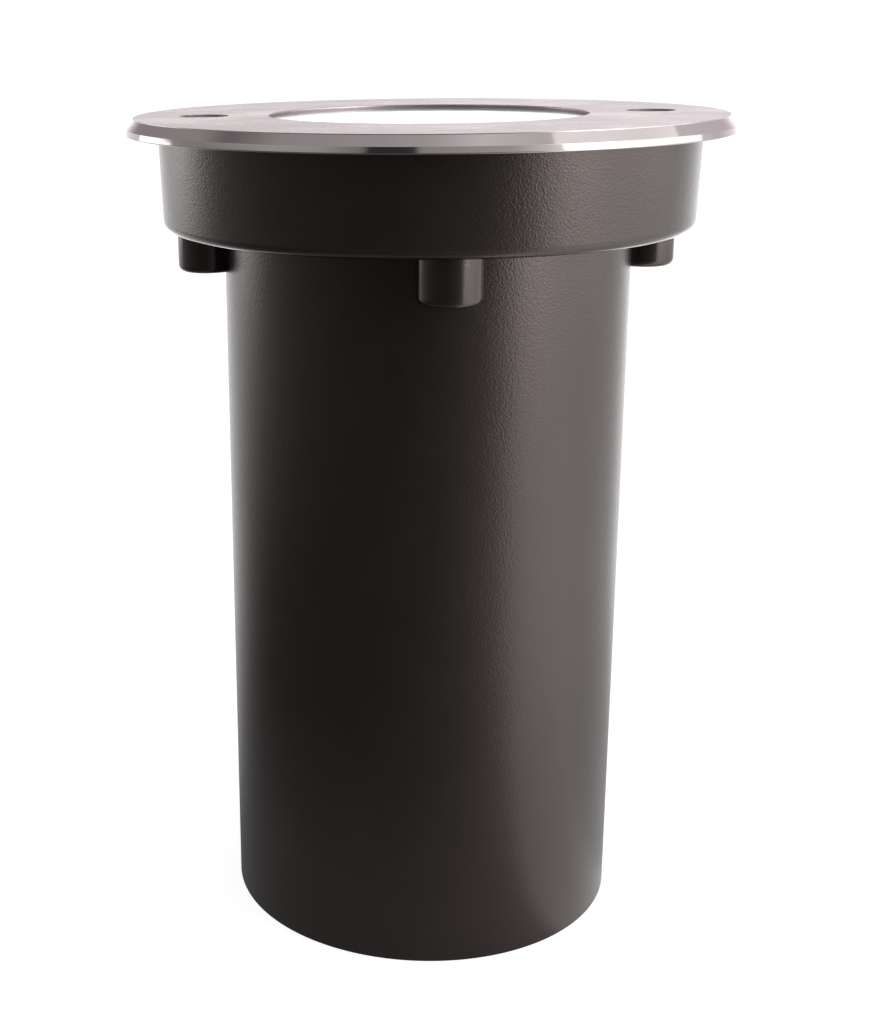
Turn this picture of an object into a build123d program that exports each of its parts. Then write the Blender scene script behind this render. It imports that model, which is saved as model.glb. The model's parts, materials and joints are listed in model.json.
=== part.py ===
from build123d import *
import os
from math import cos, radians, tan

# In-ground well light: a cast housing (collar over a long tube), a stepped
# glass clamped in a rubber gasket, a bevelled stainless trim ring, and a
# tilting reflector lamp on a sheet-metal carrier inside. Millimetres.
# The origin is the centre of the ring of metal that the tube stands on, and
# +Z points out of the ground. Screws lie on X (trim ring) and Y (clamp ring).

# ---------------------------------------------------------------- housing
housing_height = 177.0      # foot of the tube to the collar's top face
tube_d = 88.4
tube_wall = 4.3
tube_foot_radius = 0.8
collar_top_d = 115.8
collar_bottom_d = 114.4     # the casting tapers to leave its mould
collar_height = 20.5
collar_wall = 3.9
seat_wall = 2.0             # between the gasket's seat and the groove
collar_edge_radius = 1.1
floor_recess = 27.0         # the tube runs on below the floor as a skirt
floor_thickness = 5.0
floor_fillet = 2.5
groove_floor = 3.6          # metal left under the groove that lightens the collar
boss_count = 4
boss_pitch_d = 96.0
boss_d = 13.0
boss_drop = 9.5             # below the collar's underside
boss_edge_radius = 1.0
boss_end_wall = 2.5
pad_height = 3.0
pad_d = 11.0

# ---------------------------------------------------------------- trim ring
trim_d = 130.0
trim_thickness = 3.0        # where it lies on the collar
trim_lip_drop = 0.5         # its outer lip hangs round the collar and rests on the paving
trim_lip_gap = 0.3
trim_bevel_run = 1.9
trim_bevel_drop = 2.1
lens_opening_d = 68.5

# ---------------------------------------------------------------- glass and clamp
glass_recess = 0.75         # top of the glass below the trim ring's face
glass_ring_gap = 0.35
glass_flange_d = 85.2
glass_flange_thickness = 4.5
glass_edge_chamfer = 0.4
gasket_wall = 1.0
gasket_top_lip = 1.0
gasket_bottom_lip = 1.5
gasket_top_lip_width = 4.6
gasket_bottom_lip_width = 2.6
clamp_thickness = 3.0
clamp_glass_gap = 1.5
clamp_trim_gap = 0.4
clamp_seat_gap = 0.2
pocket_gap = 0.3            # clamp ring and gasket in their pockets

# ---------------------------------------------------------------- screws
m5_d = 5.0
m5_head_d = 9.4
m5_socket = 3.0
m5_sink_d = 10.4
m4_d = 4.0
m4_head_d = 7.6
m4_head_height = 2.6
m4_socket = 2.5
m3_d = 3.0
m3_head_d = 5.5
m3_head_height = 1.8
m3_socket = 2.0
grub_socket = 1.5
socket_depth = 1.6
screw_gap = 0.08            # thread in its tapped hole, all round
pass_gap = 0.3              # screw through a plain hole, all round
sink_gap = 0.1
trim_screw_length = 24.0
clamp_screw_length = 12.0
retainer_d = 8.2
retainer_thickness = 0.8
close_gap = 0.05            # pieces pressed together, all round
retainer_hole_gap = 0.5
frame_screw_length = 7.0
thread_end_gap = 1.0

# ---------------------------------------------------------------- inner frame and lamp carrier
sheet = 1.5
sheet_bend = 1.5            # inside radius of a bend
frame_span = 64.0           # outside, leg to leg
frame_width = 16.0
frame_base_d = 60.0
frame_base_hole_d = 31.0
frame_screw_pitch_d = 46.0
earth_screw_angle = 225.0
earth_washer_d = 9.0
earth_washer_thickness = 0.8
pivot_height = 128.0
pivot_gap = 0.08
pivot_washer_d = 9.0
pivot_washer_thickness = 1.0
pivot_nut_across = 7.0
pivot_nut_thickness = 2.4
carrier_width = 15.0

# ---------------------------------------------------------------- lamp
lamp_d = 50.0
lamp_length = 54.0
lamp_face_height = 148.0
lamp_rim = 3.0
lamp_lens_d = 45.0
lamp_lens_thickness = 2.0
lamp_neck_d = 27.0
lamp_base_d = 25.0
lamp_base_height = 14.0
bowl_rim_slope = 0.25       # radius lost per unit of height, below the rim
bowl_neck_slope = 0.7       # and above the neck
pin_spacing = 10.0
pin_d = 3.2
pin_head_d = 5.0
pin_head_height = 2.2
pin_length = 7.2
lamp_turn = 20.0            # degrees, unlocking

# ---------------------------------------------------------------- lamp holder and terminals
holder_length = 30.0
holder_width = 16.0
holder_top_gap = 0.3
holder_screw_spacing = 21.0
holder_slot_gap = 0.25
holder_chamber_gap = 0.4
block_length = 20.0
block_width = 15.0
block_height = 13.0
block_pole_spacing = 11.0
block_wire_hole_d = 2.9
block_edge_radius = 1.0
lead_d = 2.4
lead_gap = 0.15
lead_reach = 9.0            # how far the lamp leads bow out beside the block
lead_radius = 4.0
lead_entry = 2.5

# ---------------------------------------------------------------- cable gland
gland_thread_d = 20.0
gland_thread_length = 11.0
gland_hole_gap = 0.1
gland_across = 24.0
gland_hex_height = 5.5
gland_bore_d = 12.0
gland_seal_pocket_d = 14.0
gland_seal_pocket_depth = 12.0
gland_neck_d = 17.6
gland_neck_length = 8.0
gland_washer_d = 27.0
gland_washer_thickness = 1.5
gland_locknut_height = 5.0
gland_nut_across = 22.0
gland_nut_height = 13.0
gland_nut_wall = 3.0
gland_nut_mouth_d = 12.6
gland_nut_gap = 0.1
gland_nut_start = 1.5       # open thread between the nut and the hexagon
gland_nut_dome = 2.0
gland_seal_bore_d = 8.0
gland_seal_gap = 0.1

# ---------------------------------------------------------------- levels and radii that follow
tube_r = tube_d / 2
bore_r = tube_r - tube_wall
boss_pitch_r = boss_pitch_d / 2
opening_r = lens_opening_d / 2
glass_step_r = opening_r - glass_ring_gap
glass_flange_r = glass_flange_d / 2
gasket_r = glass_flange_r + gasket_wall
seat_pocket_r = gasket_r + pocket_gap
clamp_pocket_r = collar_top_d / 2 - collar_wall
clamp_r = clamp_pocket_r - pocket_gap

collar_bottom = housing_height - collar_height
boss_bottom = collar_bottom - boss_drop
floor_top = floor_recess + floor_thickness
pad_top = floor_top + pad_height
trim_bottom = housing_height
trim_top = trim_bottom + trim_thickness
clamp_top = trim_bottom - clamp_trim_gap
clamp_bottom = clamp_top - clamp_thickness
clamp_pocket_floor = clamp_bottom - clamp_seat_gap
glass_top = trim_top - glass_recess
flange_top = clamp_bottom - gasket_top_lip
flange_bottom = flange_top - glass_flange_thickness
seat_level = flange_bottom - gasket_bottom_lip
lamp_base_level = lamp_face_height - lamp_length
holder_top = lamp_base_level - holder_top_gap
holder_height = pin_length + m4_head_d
holder_bottom = holder_top - holder_height
frame_inner = frame_span / 2 - sheet
carrier_outer = frame_inner - pivot_washer_thickness
carrier_inner = carrier_outer - sheet
carrier_bottom = holder_bottom - sheet
gland_face = floor_recess - gland_washer_thickness
hex_bottom = gland_face - gland_hex_height
neck_bottom = hex_bottom - gland_neck_length
nut_top = hex_bottom - gland_nut_start
nut_bottom = nut_top - gland_nut_height
cos_30 = cos(radians(30))


def turned(*corners):
    """Solid of revolution about Z from (radius, height) corners, in order round the section."""
    outline = Polyline(*[(r, 0, z) for r, z in corners], close=True)
    return revolve(make_face(outline), Axis.Z)


def disc(diameter, height, bottom=0.0, bore=0.0):
    """Upright disc, or a ring where bore is given, standing on the level called bottom."""
    body = Pos(0, 0, bottom) * extrude(Circle(diameter / 2), height)
    if bore > 0:
        body -= Pos(0, 0, bottom) * extrude(Circle(bore / 2), height)
    return body


def hexagon(across, height, bottom=0.0):
    """Upright hexagonal prism, with its size given across the flats."""
    radius = across / 2 / cos_30
    return Pos(0, 0, bottom) * extrude(RegularPolygon(radius, 6), height)


def rims(part, level, radius=None):
    """Circular edges of a part that lie at one level, and have one radius if it is given."""
    found = part.edges().filter_by(GeomType.CIRCLE)
    found = found.filter_by(lambda e: abs(e.bounding_box().max.Z - level) < screw_gap / 2)
    found = found.filter_by(lambda e: abs(e.bounding_box().min.Z - level) < screw_gap / 2)
    if radius is not None:
        found = found.filter_by(lambda e: abs(e.radius - radius) < screw_gap / 2)
    return found


def countersunk_screw(thread_d, head_d, length, socket):
    """Flush screw with its head's top at height 0, its point below, and a hexagon socket."""
    head_r = head_d / 2
    thread_r = thread_d / 2
    body = turned((0, 0), (head_r, 0), (thread_r, thread_r - head_r), (thread_r, -length), (0, -length))
    body = chamfer(rims(body, -length), thread_r / 4)
    return body - hexagon(socket, socket_depth, -socket_depth)


def pan_screw(thread_d, head_d, head_height, length, socket):
    """Round-headed screw with the underside of its head at height 0 and a hexagon socket."""
    head = disc(head_d, head_height)
    head = fillet(rims(head, head_height), head_height / 2)
    body = head + disc(thread_d, length, -length)
    body = chamfer(rims(body, -length), thread_d / 8)
    return body - hexagon(socket, socket_depth, head_height - socket_depth)


def around(part, radius, angles):
    """Copies of a part set out on a circle, one at each angle in degrees."""
    return [Rot(0, 0, angle) * Pos(radius, 0, 0) * part for angle in angles]


def make_housing():
    """One casting: tube with skirt and floor, collar, four screw bosses and three floor pads."""
    section = [
        (bore_r, 0),
        (tube_r, 0),
        (tube_r, collar_bottom),
        (collar_bottom_d / 2, collar_bottom),
        (collar_top_d / 2, housing_height),
        (clamp_pocket_r, housing_height),
        (clamp_pocket_r, clamp_pocket_floor),
        (seat_pocket_r, clamp_pocket_floor),
        (seat_pocket_r, seat_level),
        (bore_r, seat_level),
        (bore_r, floor_top),
        (0, floor_top),
        (0, floor_recess),
        (bore_r, floor_recess),
    ]
    body = turned(*section)
    body = fillet(rims(body, collar_bottom, collar_bottom_d / 2), collar_edge_radius)
    body = fillet(rims(body, 0), tube_foot_radius)
    body = fillet(rims(body, floor_top) + rims(body, floor_recess), floor_fillet)

    boss_angles = [360 / boss_count * i for i in range(boss_count)]
    boss = disc(boss_d, clamp_pocket_floor - boss_bottom, boss_bottom)
    boss = fillet(rims(boss, boss_bottom), boss_edge_radius)
    bosses = around(boss, boss_pitch_r, boss_angles)
    groove_top = clamp_pocket_floor
    groove_bottom = collar_bottom + groove_floor
    inner = seat_pocket_r + seat_wall
    outer = clamp_pocket_r
    groove_height = groove_top - groove_bottom
    groove = disc(2 * outer, groove_height, groove_bottom, 2 * inner)
    body -= groove
    inside = disc(2 * seat_pocket_r, housing_height)
    for tower in bosses:
        body += tower - inside

    depth = clamp_pocket_floor - boss_bottom - boss_end_wall
    tapped = disc(m5_d + 2 * screw_gap, depth, boss_bottom + boss_end_wall)
    for hole in around(tapped, boss_pitch_r, boss_angles):
        body -= hole

    pad = disc(pad_d, pad_height, floor_top)
    pad_depth = frame_screw_length - sheet + thread_end_gap
    pad_hole = disc(m4_d + 2 * screw_gap, pad_depth, pad_top - pad_depth)
    pad_angles = [90, 270, earth_screw_angle]
    for solid in around(pad, frame_screw_pitch_d / 2, pad_angles):
        body += solid
    for hole in around(pad_hole, frame_screw_pitch_d / 2, pad_angles):
        body -= hole
    return body - disc(gland_thread_d + 2 * gland_hole_gap, floor_thickness, floor_recess)


def sunk_hole(top):
    """Cutter for a screw hole with a 90 degree countersink whose mouth is at the level top."""
    hole_r = m5_d / 2 + pass_gap
    sink_r = m5_sink_d / 2
    deep = top - sink_r + hole_r
    return turned((0, 0), (hole_r, 0), (hole_r, deep), (sink_r, top), (0, top))


def make_trim_ring():
    """Bevelled stainless ring with an outer lip and a sunk hole at each side for its screws."""
    outer = trim_d / 2
    lip = collar_top_d / 2 + trim_lip_gap
    ring = turned(
        (opening_r, trim_bottom),
        (lip, trim_bottom),
        (lip, trim_bottom - trim_lip_drop),
        (outer, trim_bottom - trim_lip_drop),
        (outer, trim_top - trim_bevel_drop),
        (outer - trim_bevel_run, trim_top),
        (opening_r, trim_top),
    )
    for hole in around(sunk_hole(trim_top), boss_pitch_r, [0, 180]):
        ring -= hole
    return ring


def make_clamp_ring():
    """Flat ring over the gasket: two sunk holes of its own, two wide ones for the trim screws."""
    inner = glass_step_r + clamp_glass_gap
    ring = disc(2 * clamp_r, clamp_thickness, clamp_bottom, 2 * inner)
    for hole in around(sunk_hole(clamp_top), boss_pitch_r, [90, 270]):
        ring -= hole
    wide = disc(retainer_d + 2 * retainer_hole_gap, clamp_thickness, clamp_bottom)
    for hole in around(wide, boss_pitch_r, [0, 180]):
        ring -= hole
    return ring


def make_glass():
    """Stepped toughened glass: the upper disc fills the trim ring, the flange is clamped."""
    glass = turned(
        (0, flange_bottom),
        (glass_flange_r, flange_bottom),
        (glass_flange_r, flange_top),
        (glass_step_r, flange_top),
        (glass_step_r, glass_top),
        (0, glass_top),
    )
    edges = rims(glass, glass_top) + rims(glass, flange_bottom)
    return chamfer(edges, glass_edge_chamfer)


def make_gasket():
    """Moulded rubber channel that wraps the flange of the glass above, outside and below."""
    edge = glass_flange_r + close_gap
    top = clamp_bottom
    return turned(
        (gasket_r - gasket_wall - gasket_bottom_lip_width, seat_level),
        (gasket_r, seat_level),
        (gasket_r, top),
        (gasket_r - gasket_wall - gasket_top_lip_width, top),
        (gasket_r - gasket_wall - gasket_top_lip_width, flange_top),
        (edge, flange_top),
        (edge, flange_bottom),
        (gasket_r - gasket_wall - gasket_bottom_lip_width, flange_bottom),
    )


def sheet_channel(outer_half, bottom, top, width):
    """Strip bent into a U: a flat base between two upright legs with rounded ends."""
    height = top - bottom
    middle = Pos(0, 0, bottom + height / 2)
    outer = middle * Box(2 * outer_half, width, height)
    outer = fillet(outer.edges().filter_by(Axis.Y).group_by(Axis.Z)[0], sheet + sheet_bend)
    inner = Pos(0, 0, sheet) * middle * Box(2 * (outer_half - sheet), width, height)
    inner = fillet(inner.edges().filter_by(Axis.Y).group_by(Axis.Z)[0], sheet_bend)
    channel = outer - inner
    ends = channel.edges().filter_by(Axis.X).group_by(Axis.Z)[-1]
    return fillet(ends, width / 2 - sheet_bend)


def crosswise(part):
    """A part that was drawn along Z, turned to lie along X through the lamp's pivot."""
    return Pos(0, 0, pivot_height) * Rot(0, 90, 0) * part


def make_frame():
    """Fixed frame: a round base with a hole round the gland, and two legs to the lamp's pivot."""
    top = pivot_height + frame_width / 2
    frame = sheet_channel(frame_span / 2, pad_top, top, frame_width)
    frame += disc(frame_base_d, sheet, pad_top)
    frame -= disc(frame_base_hole_d, sheet, pad_top)
    frame -= crosswise(disc(m4_d + 2 * pivot_gap, 2 * frame_span, -frame_span))
    hole = disc(m4_d + 2 * screw_gap, sheet, pad_top)
    for cutter in around(hole, frame_screw_pitch_d / 2, [90, 270, earth_screw_angle]):
        frame -= cutter
    return frame


def make_carrier():
    """Tilting U that carries the lamp holder on its base and hangs on the two pivot screws."""
    top = pivot_height + carrier_width / 2
    carrier = sheet_channel(carrier_outer, carrier_bottom, top, carrier_width)
    carrier -= crosswise(disc(m4_d + 2 * screw_gap, 2 * frame_span, -frame_span))
    hole = disc(m3_d + 2 * screw_gap, sheet, carrier_bottom)
    carrier -= hole
    for side in (-1, 1):
        carrier -= Pos(side * holder_screw_spacing / 2, 0, 0) * hole
    return carrier


def pivot_parts():
    """The screws, spring washers and nuts of both pivots, each as one group."""
    length = sheet + pivot_washer_thickness + sheet + pivot_nut_thickness
    screw = Pos(0, 0, frame_span / 2) * pan_screw(m4_d, m4_head_d, m4_head_height, length, m4_socket)
    washer = disc(pivot_washer_d, pivot_washer_thickness, carrier_outer, m4_d + 2 * screw_gap)
    nut = hexagon(pivot_nut_across, pivot_nut_thickness, carrier_inner - pivot_nut_thickness)
    nut -= disc(m4_d + 2 * screw_gap, pivot_nut_thickness, carrier_inner - pivot_nut_thickness)
    groups = []
    for part in (screw, washer, nut):
        groups.append([crosswise(Rot(180 * side, 0, 0) * part) for side in (0, 1)])
    return groups


def make_lamp_body():
    """Reflector lamp: a curved bowl from the face to the neck, and a straight base below it."""
    face_r = lamp_d / 2
    neck_r = lamp_neck_d / 2
    base_r = lamp_base_d / 2
    bowl_top = lamp_face_height - lamp_rim
    neck = lamp_base_level + lamp_base_height
    bowl = Spline(
        (face_r, 0, bowl_top),
        (neck_r, 0, neck),
        tangents=[(-bowl_rim_slope, 0, -1), (-bowl_neck_slope, 0, -1)],
    )
    edge = Polyline(
        (neck_r, 0, neck),
        (base_r, 0, neck),
        (base_r, 0, lamp_base_level),
        (0, 0, lamp_base_level),
        (0, 0, lamp_face_height - lamp_lens_thickness),
        (lamp_lens_d / 2, 0, lamp_face_height - lamp_lens_thickness),
        (lamp_lens_d / 2, 0, lamp_face_height),
        (face_r, 0, lamp_face_height),
        (face_r, 0, bowl_top),
    )
    body = revolve(make_face(Wire(bowl.edges() + edge.edges())), Axis.Z)
    for pin in pin_places():
        body -= pin * disc(pin_d + 2 * close_gap, pin_length, lamp_base_level)
    return body


def pin_places():
    """The two places of the lamp's pins, either side of its axis."""
    return [Pos(side * pin_spacing / 2, 0, 0) for side in (-1, 1)]


def make_lamp_lens():
    """Front lens of the lamp, set in its rim."""
    return disc(lamp_lens_d - 2 * close_gap, lamp_lens_thickness, lamp_face_height - lamp_lens_thickness)


def make_lamp_pins():
    """Two stepped pins whose wide ends catch in the holder."""
    tip = lamp_base_level - pin_length
    pin = disc(pin_d, 2 * pin_length, tip) + disc(pin_head_d, pin_head_height, tip)
    return [place * pin for place in pin_places()]


def turn_slot(width, height, bottom):
    """Curved slots for both pins, as wide as asked, from the locked place to the free one."""
    mid_r = pin_spacing / 2
    cutter = disc(2 * mid_r + width, height, bottom, 2 * mid_r - width)
    reach = pin_spacing + width
    wedge = Polyline((0, 0), (reach, 0), (reach, reach * tan(radians(lamp_turn))), close=True)
    sector = Pos(0, 0, bottom) * extrude(make_face(wedge), height)
    slots = []
    for start in (0, 180):
        arc = cutter & (Rot(0, 0, start) * sector)
        for angle in (0, lamp_turn):
            arc += Rot(0, 0, start + angle) * Pos(mid_r, 0, 0) * disc(width, height, bottom)
        slots.append(arc)
    return slots


def make_holder():
    """Ceramic holder with the two turn-and-lock slots and its fixing holes."""
    flat = holder_length - holder_width
    block = Pos(0, 0, holder_bottom) * extrude(SlotCenterToCenter(flat, holder_width), holder_height)
    block = fillet(block.edges().group_by(Axis.Z)[-1], block_edge_radius)
    chamber_bottom = lamp_base_level - pin_length - holder_chamber_gap
    chamber_height = pin_head_height + 2 * holder_chamber_gap
    for slot in turn_slot(pin_head_d + 2 * holder_slot_gap, chamber_height, chamber_bottom):
        block -= slot
    slot_bottom = chamber_bottom + chamber_height
    for slot in turn_slot(pin_d + 2 * holder_slot_gap, holder_top - slot_bottom, slot_bottom):
        block -= slot
    for start in (0, 180):
        mouth = disc(pin_head_d + 2 * holder_slot_gap, holder_top - slot_bottom, slot_bottom)
        block -= Rot(0, 0, start + lamp_turn) * Pos(pin_spacing / 2, 0, 0) * mouth
    for side in (-1, 1):
        place = Pos(side * holder_screw_spacing / 2, 0, 0)
        block -= place * disc(m3_d + 2 * screw_gap, holder_height, holder_bottom)
        deep = m3_head_height + thread_end_gap
        block -= place * disc(m3_head_d + 2 * pass_gap, deep, holder_top - deep)
    for lead in lead_tubes(lead_d + 2 * lead_gap):
        block -= lead
    return block


def lead_path(x):
    """Route of one lamp lead: out of the holder's side, down past the sheet, into the block."""
    from_y = holder_width / 2 - lead_entry
    to_y = block_width / 2 - lead_entry
    far_y = holder_width / 2 + lead_reach
    high = (holder_bottom + lamp_base_level - pin_length) / 2
    low = carrier_bottom - block_height / 2
    points = [(x, from_y, high), (x, far_y, high), (x, far_y, low), (x, to_y, low)]
    return FilletPolyline(*points, radius=lead_radius)


def lead_tubes(diameter):
    """Both lamp leads as round tubes of one diameter."""
    tubes = []
    for side in (-1, 1):
        path = lead_path(side * block_pole_spacing / 2)
        section = Plane(origin=path @ 0, z_dir=path % 0) * Circle(diameter / 2)
        tubes.append(sweep(section, path))
    return tubes


def make_block():
    """Two-pole terminal block under the carrier, with wire holes through it and screw holes."""
    block = Pos(0, 0, carrier_bottom - block_height / 2) * Box(block_length, block_width, block_height)
    block = fillet(block.edges().filter_by(Axis.Z), block_edge_radius)
    block -= disc(m3_d + 2 * screw_gap, block_height, carrier_bottom - block_height)
    for side in (-1, 1):
        place = Pos(side * block_pole_spacing / 2, 0, carrier_bottom - block_height / 2)
        block -= place * Rot(90, 0, 0) * disc(block_wire_hole_d, block_width, -block_width / 2)
        well = disc(m3_d + 2 * screw_gap, block_height / 2, -block_height / 2)
        block -= place * Pos(0, -block_width / 4, 0) * well
    return block


def make_terminal_screws():
    """One grub screw in each pole, which grips the supply's wire."""
    length = block_height / 2 - block_wire_hole_d / 2
    screw = disc(m3_d, length) - hexagon(grub_socket, socket_depth)
    screws = []
    for side in (-1, 1):
        place = Pos(side * block_pole_spacing / 2, -block_width / 4, carrier_bottom - block_height)
        screws.append(place * screw)
    return screws


def make_gland_body():
    """Gland body: thread through the floor, hexagon against its washer, neck for the nut below."""
    thread_top = gland_face + gland_washer_thickness + gland_thread_length
    body = disc(gland_thread_d, thread_top - gland_face, gland_face)
    body += hexagon(gland_across, gland_hex_height, hex_bottom)
    body += disc(gland_neck_d, gland_neck_length, neck_bottom)
    body -= disc(gland_bore_d, thread_top - neck_bottom, neck_bottom)
    return body - disc(gland_seal_pocket_d, gland_seal_pocket_depth, neck_bottom)


def make_gland_nut():
    """Domed nut that closes on the neck and squeezes the seal."""
    nut = hexagon(gland_nut_across, gland_nut_height, nut_bottom)
    dome = disc(gland_nut_across / cos_30, gland_nut_height, nut_bottom)
    dome = fillet(rims(dome, nut_bottom), gland_nut_dome)
    nut = nut & dome
    nut -= disc(gland_neck_d + 2 * gland_nut_gap, gland_nut_height, nut_bottom + gland_nut_wall)
    return nut - disc(gland_nut_mouth_d, gland_nut_wall, nut_bottom)


def make_gland_seal():
    """Rubber sleeve round the cable's place, between the nut's end and the gland's pocket."""
    bottom = nut_bottom + gland_nut_wall + gland_seal_gap
    top = neck_bottom + gland_seal_pocket_depth
    diameter = gland_seal_pocket_d - 2 * gland_seal_gap
    return disc(diameter, top - bottom, bottom, gland_seal_bore_d)


pivot_screws, pivot_washers, pivot_nuts = pivot_parts()

trim_screw = countersunk_screw(m5_d, m5_head_d, trim_screw_length, m5_socket)
trim_screw_top = trim_top - (m5_sink_d - m5_head_d) / 2 + sink_gap
clamp_screw = countersunk_screw(m5_d, m5_head_d, clamp_screw_length, m5_socket)
clamp_screw_top = clamp_top - (m5_sink_d - m5_head_d) / 2 + sink_gap
retainer = disc(
    retainer_d,
    retainer_thickness,
    trim_bottom - close_gap - retainer_thickness,
    m5_d + 2 * close_gap,
)
frame_screw = pan_screw(m4_d, m4_head_d, m4_head_height, frame_screw_length, m4_socket)
holder_screw_length = holder_height - m3_head_height - thread_end_gap + sheet
holder_screw = pan_screw(m3_d, m3_head_d, m3_head_height, holder_screw_length, m3_socket)
block_screw = pan_screw(m3_d, m3_head_d, m3_head_height, block_height + sheet, m3_socket)
earth_washer = disc(earth_washer_d, earth_washer_thickness, pad_top + sheet, m4_d + 2 * screw_gap)
earth_screw_level = pad_top + sheet + earth_washer_thickness
earth_screw = Pos(0, 0, earth_screw_level) * frame_screw
holder_screw_level = holder_top - m3_head_height - thread_end_gap
gland_hole_d = gland_thread_d + 2 * gland_hole_gap
locknut = hexagon(gland_across, gland_locknut_height, floor_top)
locknut -= disc(gland_hole_d, gland_locknut_height, floor_top)

parts = {
    "housing": make_housing(),
    "trim_ring": make_trim_ring(),
    "trim_screw_left": Pos(-boss_pitch_r, 0, trim_screw_top) * trim_screw,
    "trim_screw_right": Pos(boss_pitch_r, 0, trim_screw_top) * trim_screw,
    "screw_retainers": around(retainer, boss_pitch_r, [0, 180]),
    "clamp_ring": make_clamp_ring(),
    "clamp_screw_front": Pos(0, -boss_pitch_r, clamp_screw_top) * clamp_screw,
    "clamp_screw_back": Pos(0, boss_pitch_r, clamp_screw_top) * clamp_screw,
    "glass_lens": make_glass(),
    "lens_gasket": make_gasket(),
    "mounting_frame": make_frame(),
    "frame_screws": around(Pos(0, 0, pad_top + sheet) * frame_screw, frame_screw_pitch_d / 2, [90, 270]),
    "earth_washer": around(earth_washer, frame_screw_pitch_d / 2, [earth_screw_angle]),
    "earth_screw": around(earth_screw, frame_screw_pitch_d / 2, [earth_screw_angle]),
    "lamp_carrier": make_carrier(),
    "pivot_screws": pivot_screws,
    "pivot_washers": pivot_washers,
    "pivot_nuts": pivot_nuts,
    "lamp_holder": make_holder(),
    "holder_screws": [
        Pos(side * holder_screw_spacing / 2, 0, holder_screw_level) * holder_screw
        for side in (-1, 1)
    ],
    "terminal_block": make_block(),
    "terminal_screws": make_terminal_screws(),
    "block_screw": Pos(0, 0, carrier_bottom - block_height) * Rot(180, 0, 0) * block_screw,
    "lamp_leads": lead_tubes(lead_d),
    "lamp_body": make_lamp_body(),
    "lamp_lens": make_lamp_lens(),
    "lamp_pins": make_lamp_pins(),
    "gland_body": make_gland_body(),
    "gland_washer": disc(gland_washer_d, gland_washer_thickness, gland_face, gland_hole_d),
    "gland_locknut": locknut,
    "gland_nut": make_gland_nut(),
    "gland_seal": make_gland_seal(),
}

os.makedirs("parts", exist_ok=True)
for name, shape in parts.items():
    if isinstance(shape, list):
        shape = Compound(shape)
    export_step(shape, f"parts/{name}.step")
    size = shape.bounding_box().size
    print(f"{name}: {len(shape.solids())} solid(s), {size.X:.1f} x {size.Y:.1f} x {size.Z:.1f} mm")
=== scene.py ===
# %% [markdown]
# # An in-ground well light
# A well light is sunk into paving and shines upwards. What shows here is a cast tube with a wider collar,
# dark bronze powder coat all over, a bevelled stainless ring on top and a thick glass inside the ring.
# The sizes, the screws and everything that moves come from a packed construction model, the frame.
# This lesson dresses that frame: the pieces that show are worked out again as fine surfaces, and every
# piece gets a finish of its own.

# %% Load the frame
import json
import math

import bmesh
import bpy
import numpy as np
from mathutils import Matrix, Vector


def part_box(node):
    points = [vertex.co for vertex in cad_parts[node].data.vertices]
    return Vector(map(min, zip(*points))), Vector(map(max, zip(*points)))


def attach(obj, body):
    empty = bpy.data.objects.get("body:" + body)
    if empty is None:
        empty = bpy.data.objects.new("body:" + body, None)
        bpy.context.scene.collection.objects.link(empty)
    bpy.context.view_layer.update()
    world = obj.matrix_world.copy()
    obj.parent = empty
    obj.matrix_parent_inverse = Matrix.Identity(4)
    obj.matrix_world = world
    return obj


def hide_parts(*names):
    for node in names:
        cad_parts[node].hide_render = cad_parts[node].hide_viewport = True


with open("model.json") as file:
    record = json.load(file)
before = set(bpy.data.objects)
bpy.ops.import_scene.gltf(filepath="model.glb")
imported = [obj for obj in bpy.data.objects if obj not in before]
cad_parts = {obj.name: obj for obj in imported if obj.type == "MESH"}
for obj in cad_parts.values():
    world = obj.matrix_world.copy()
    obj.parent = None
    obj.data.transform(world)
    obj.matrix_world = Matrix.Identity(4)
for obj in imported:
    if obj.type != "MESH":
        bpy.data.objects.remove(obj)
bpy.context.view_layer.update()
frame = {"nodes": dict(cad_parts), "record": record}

mm = 0.001

# %% [markdown]
# ## Sizes
# The outer sizes are read from the frame, so that a new piece always fills the place of the one it stands
# for. Sizes that no box can tell, such as the width of a bevel, are written here once, in millimetres.

# %% Sizes that the frame gives
def reach(node):
    """Radius, bottom and top of a node that is round about the light's own axis, in millimetres."""
    low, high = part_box(node)
    return high.x / mm, low.z / mm, high.z / mm


trim_r, lip_level, trim_top = reach("trim_ring")
collar_r, foot_level, collar_top = reach("housing")
clamp_r, clamp_bottom, clamp_top = reach("clamp_ring")
flange_r, glass_bottom, glass_top = reach("glass_lens")
gasket_r, gasket_bottom, gasket_top = reach("lens_gasket")
print(f"ring {2 * trim_r:.1f} mm across, light {trim_top:.1f} mm tall")

# %% [markdown]
# ## The camera first
# The photograph looks down on the rim from just above it. A camera was fitted to the circles of the rim,
# the collar, the tube and the foot, and its numbers are written here as distances and angles about the
# centre of the ring's face. The lens is shifted sideways, as in the photograph, and not turned.

# %% Camera
photo_height = 1024
focal_pixels = 1609.0
optical_centre_x = 304.6
photo_centre_x = 435.0
sensor = 36.0
camera_distance = 355.9 * mm
camera_rise = 20.3 * mm
camera_pitch = math.radians(17.15)
camera_yaw = math.radians(-4.43)
camera_roll = math.radians(-0.71)
view_turn = math.radians(5.3)       # the screws stand this far round from the camera


def sideways(azimuth, distance, height):
    """Point at an azimuth in radians, counted to the right from the camera, round the light's axis."""
    angle = azimuth - view_turn
    return Vector((math.sin(angle) * distance, -math.cos(angle) * distance, height))


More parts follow.
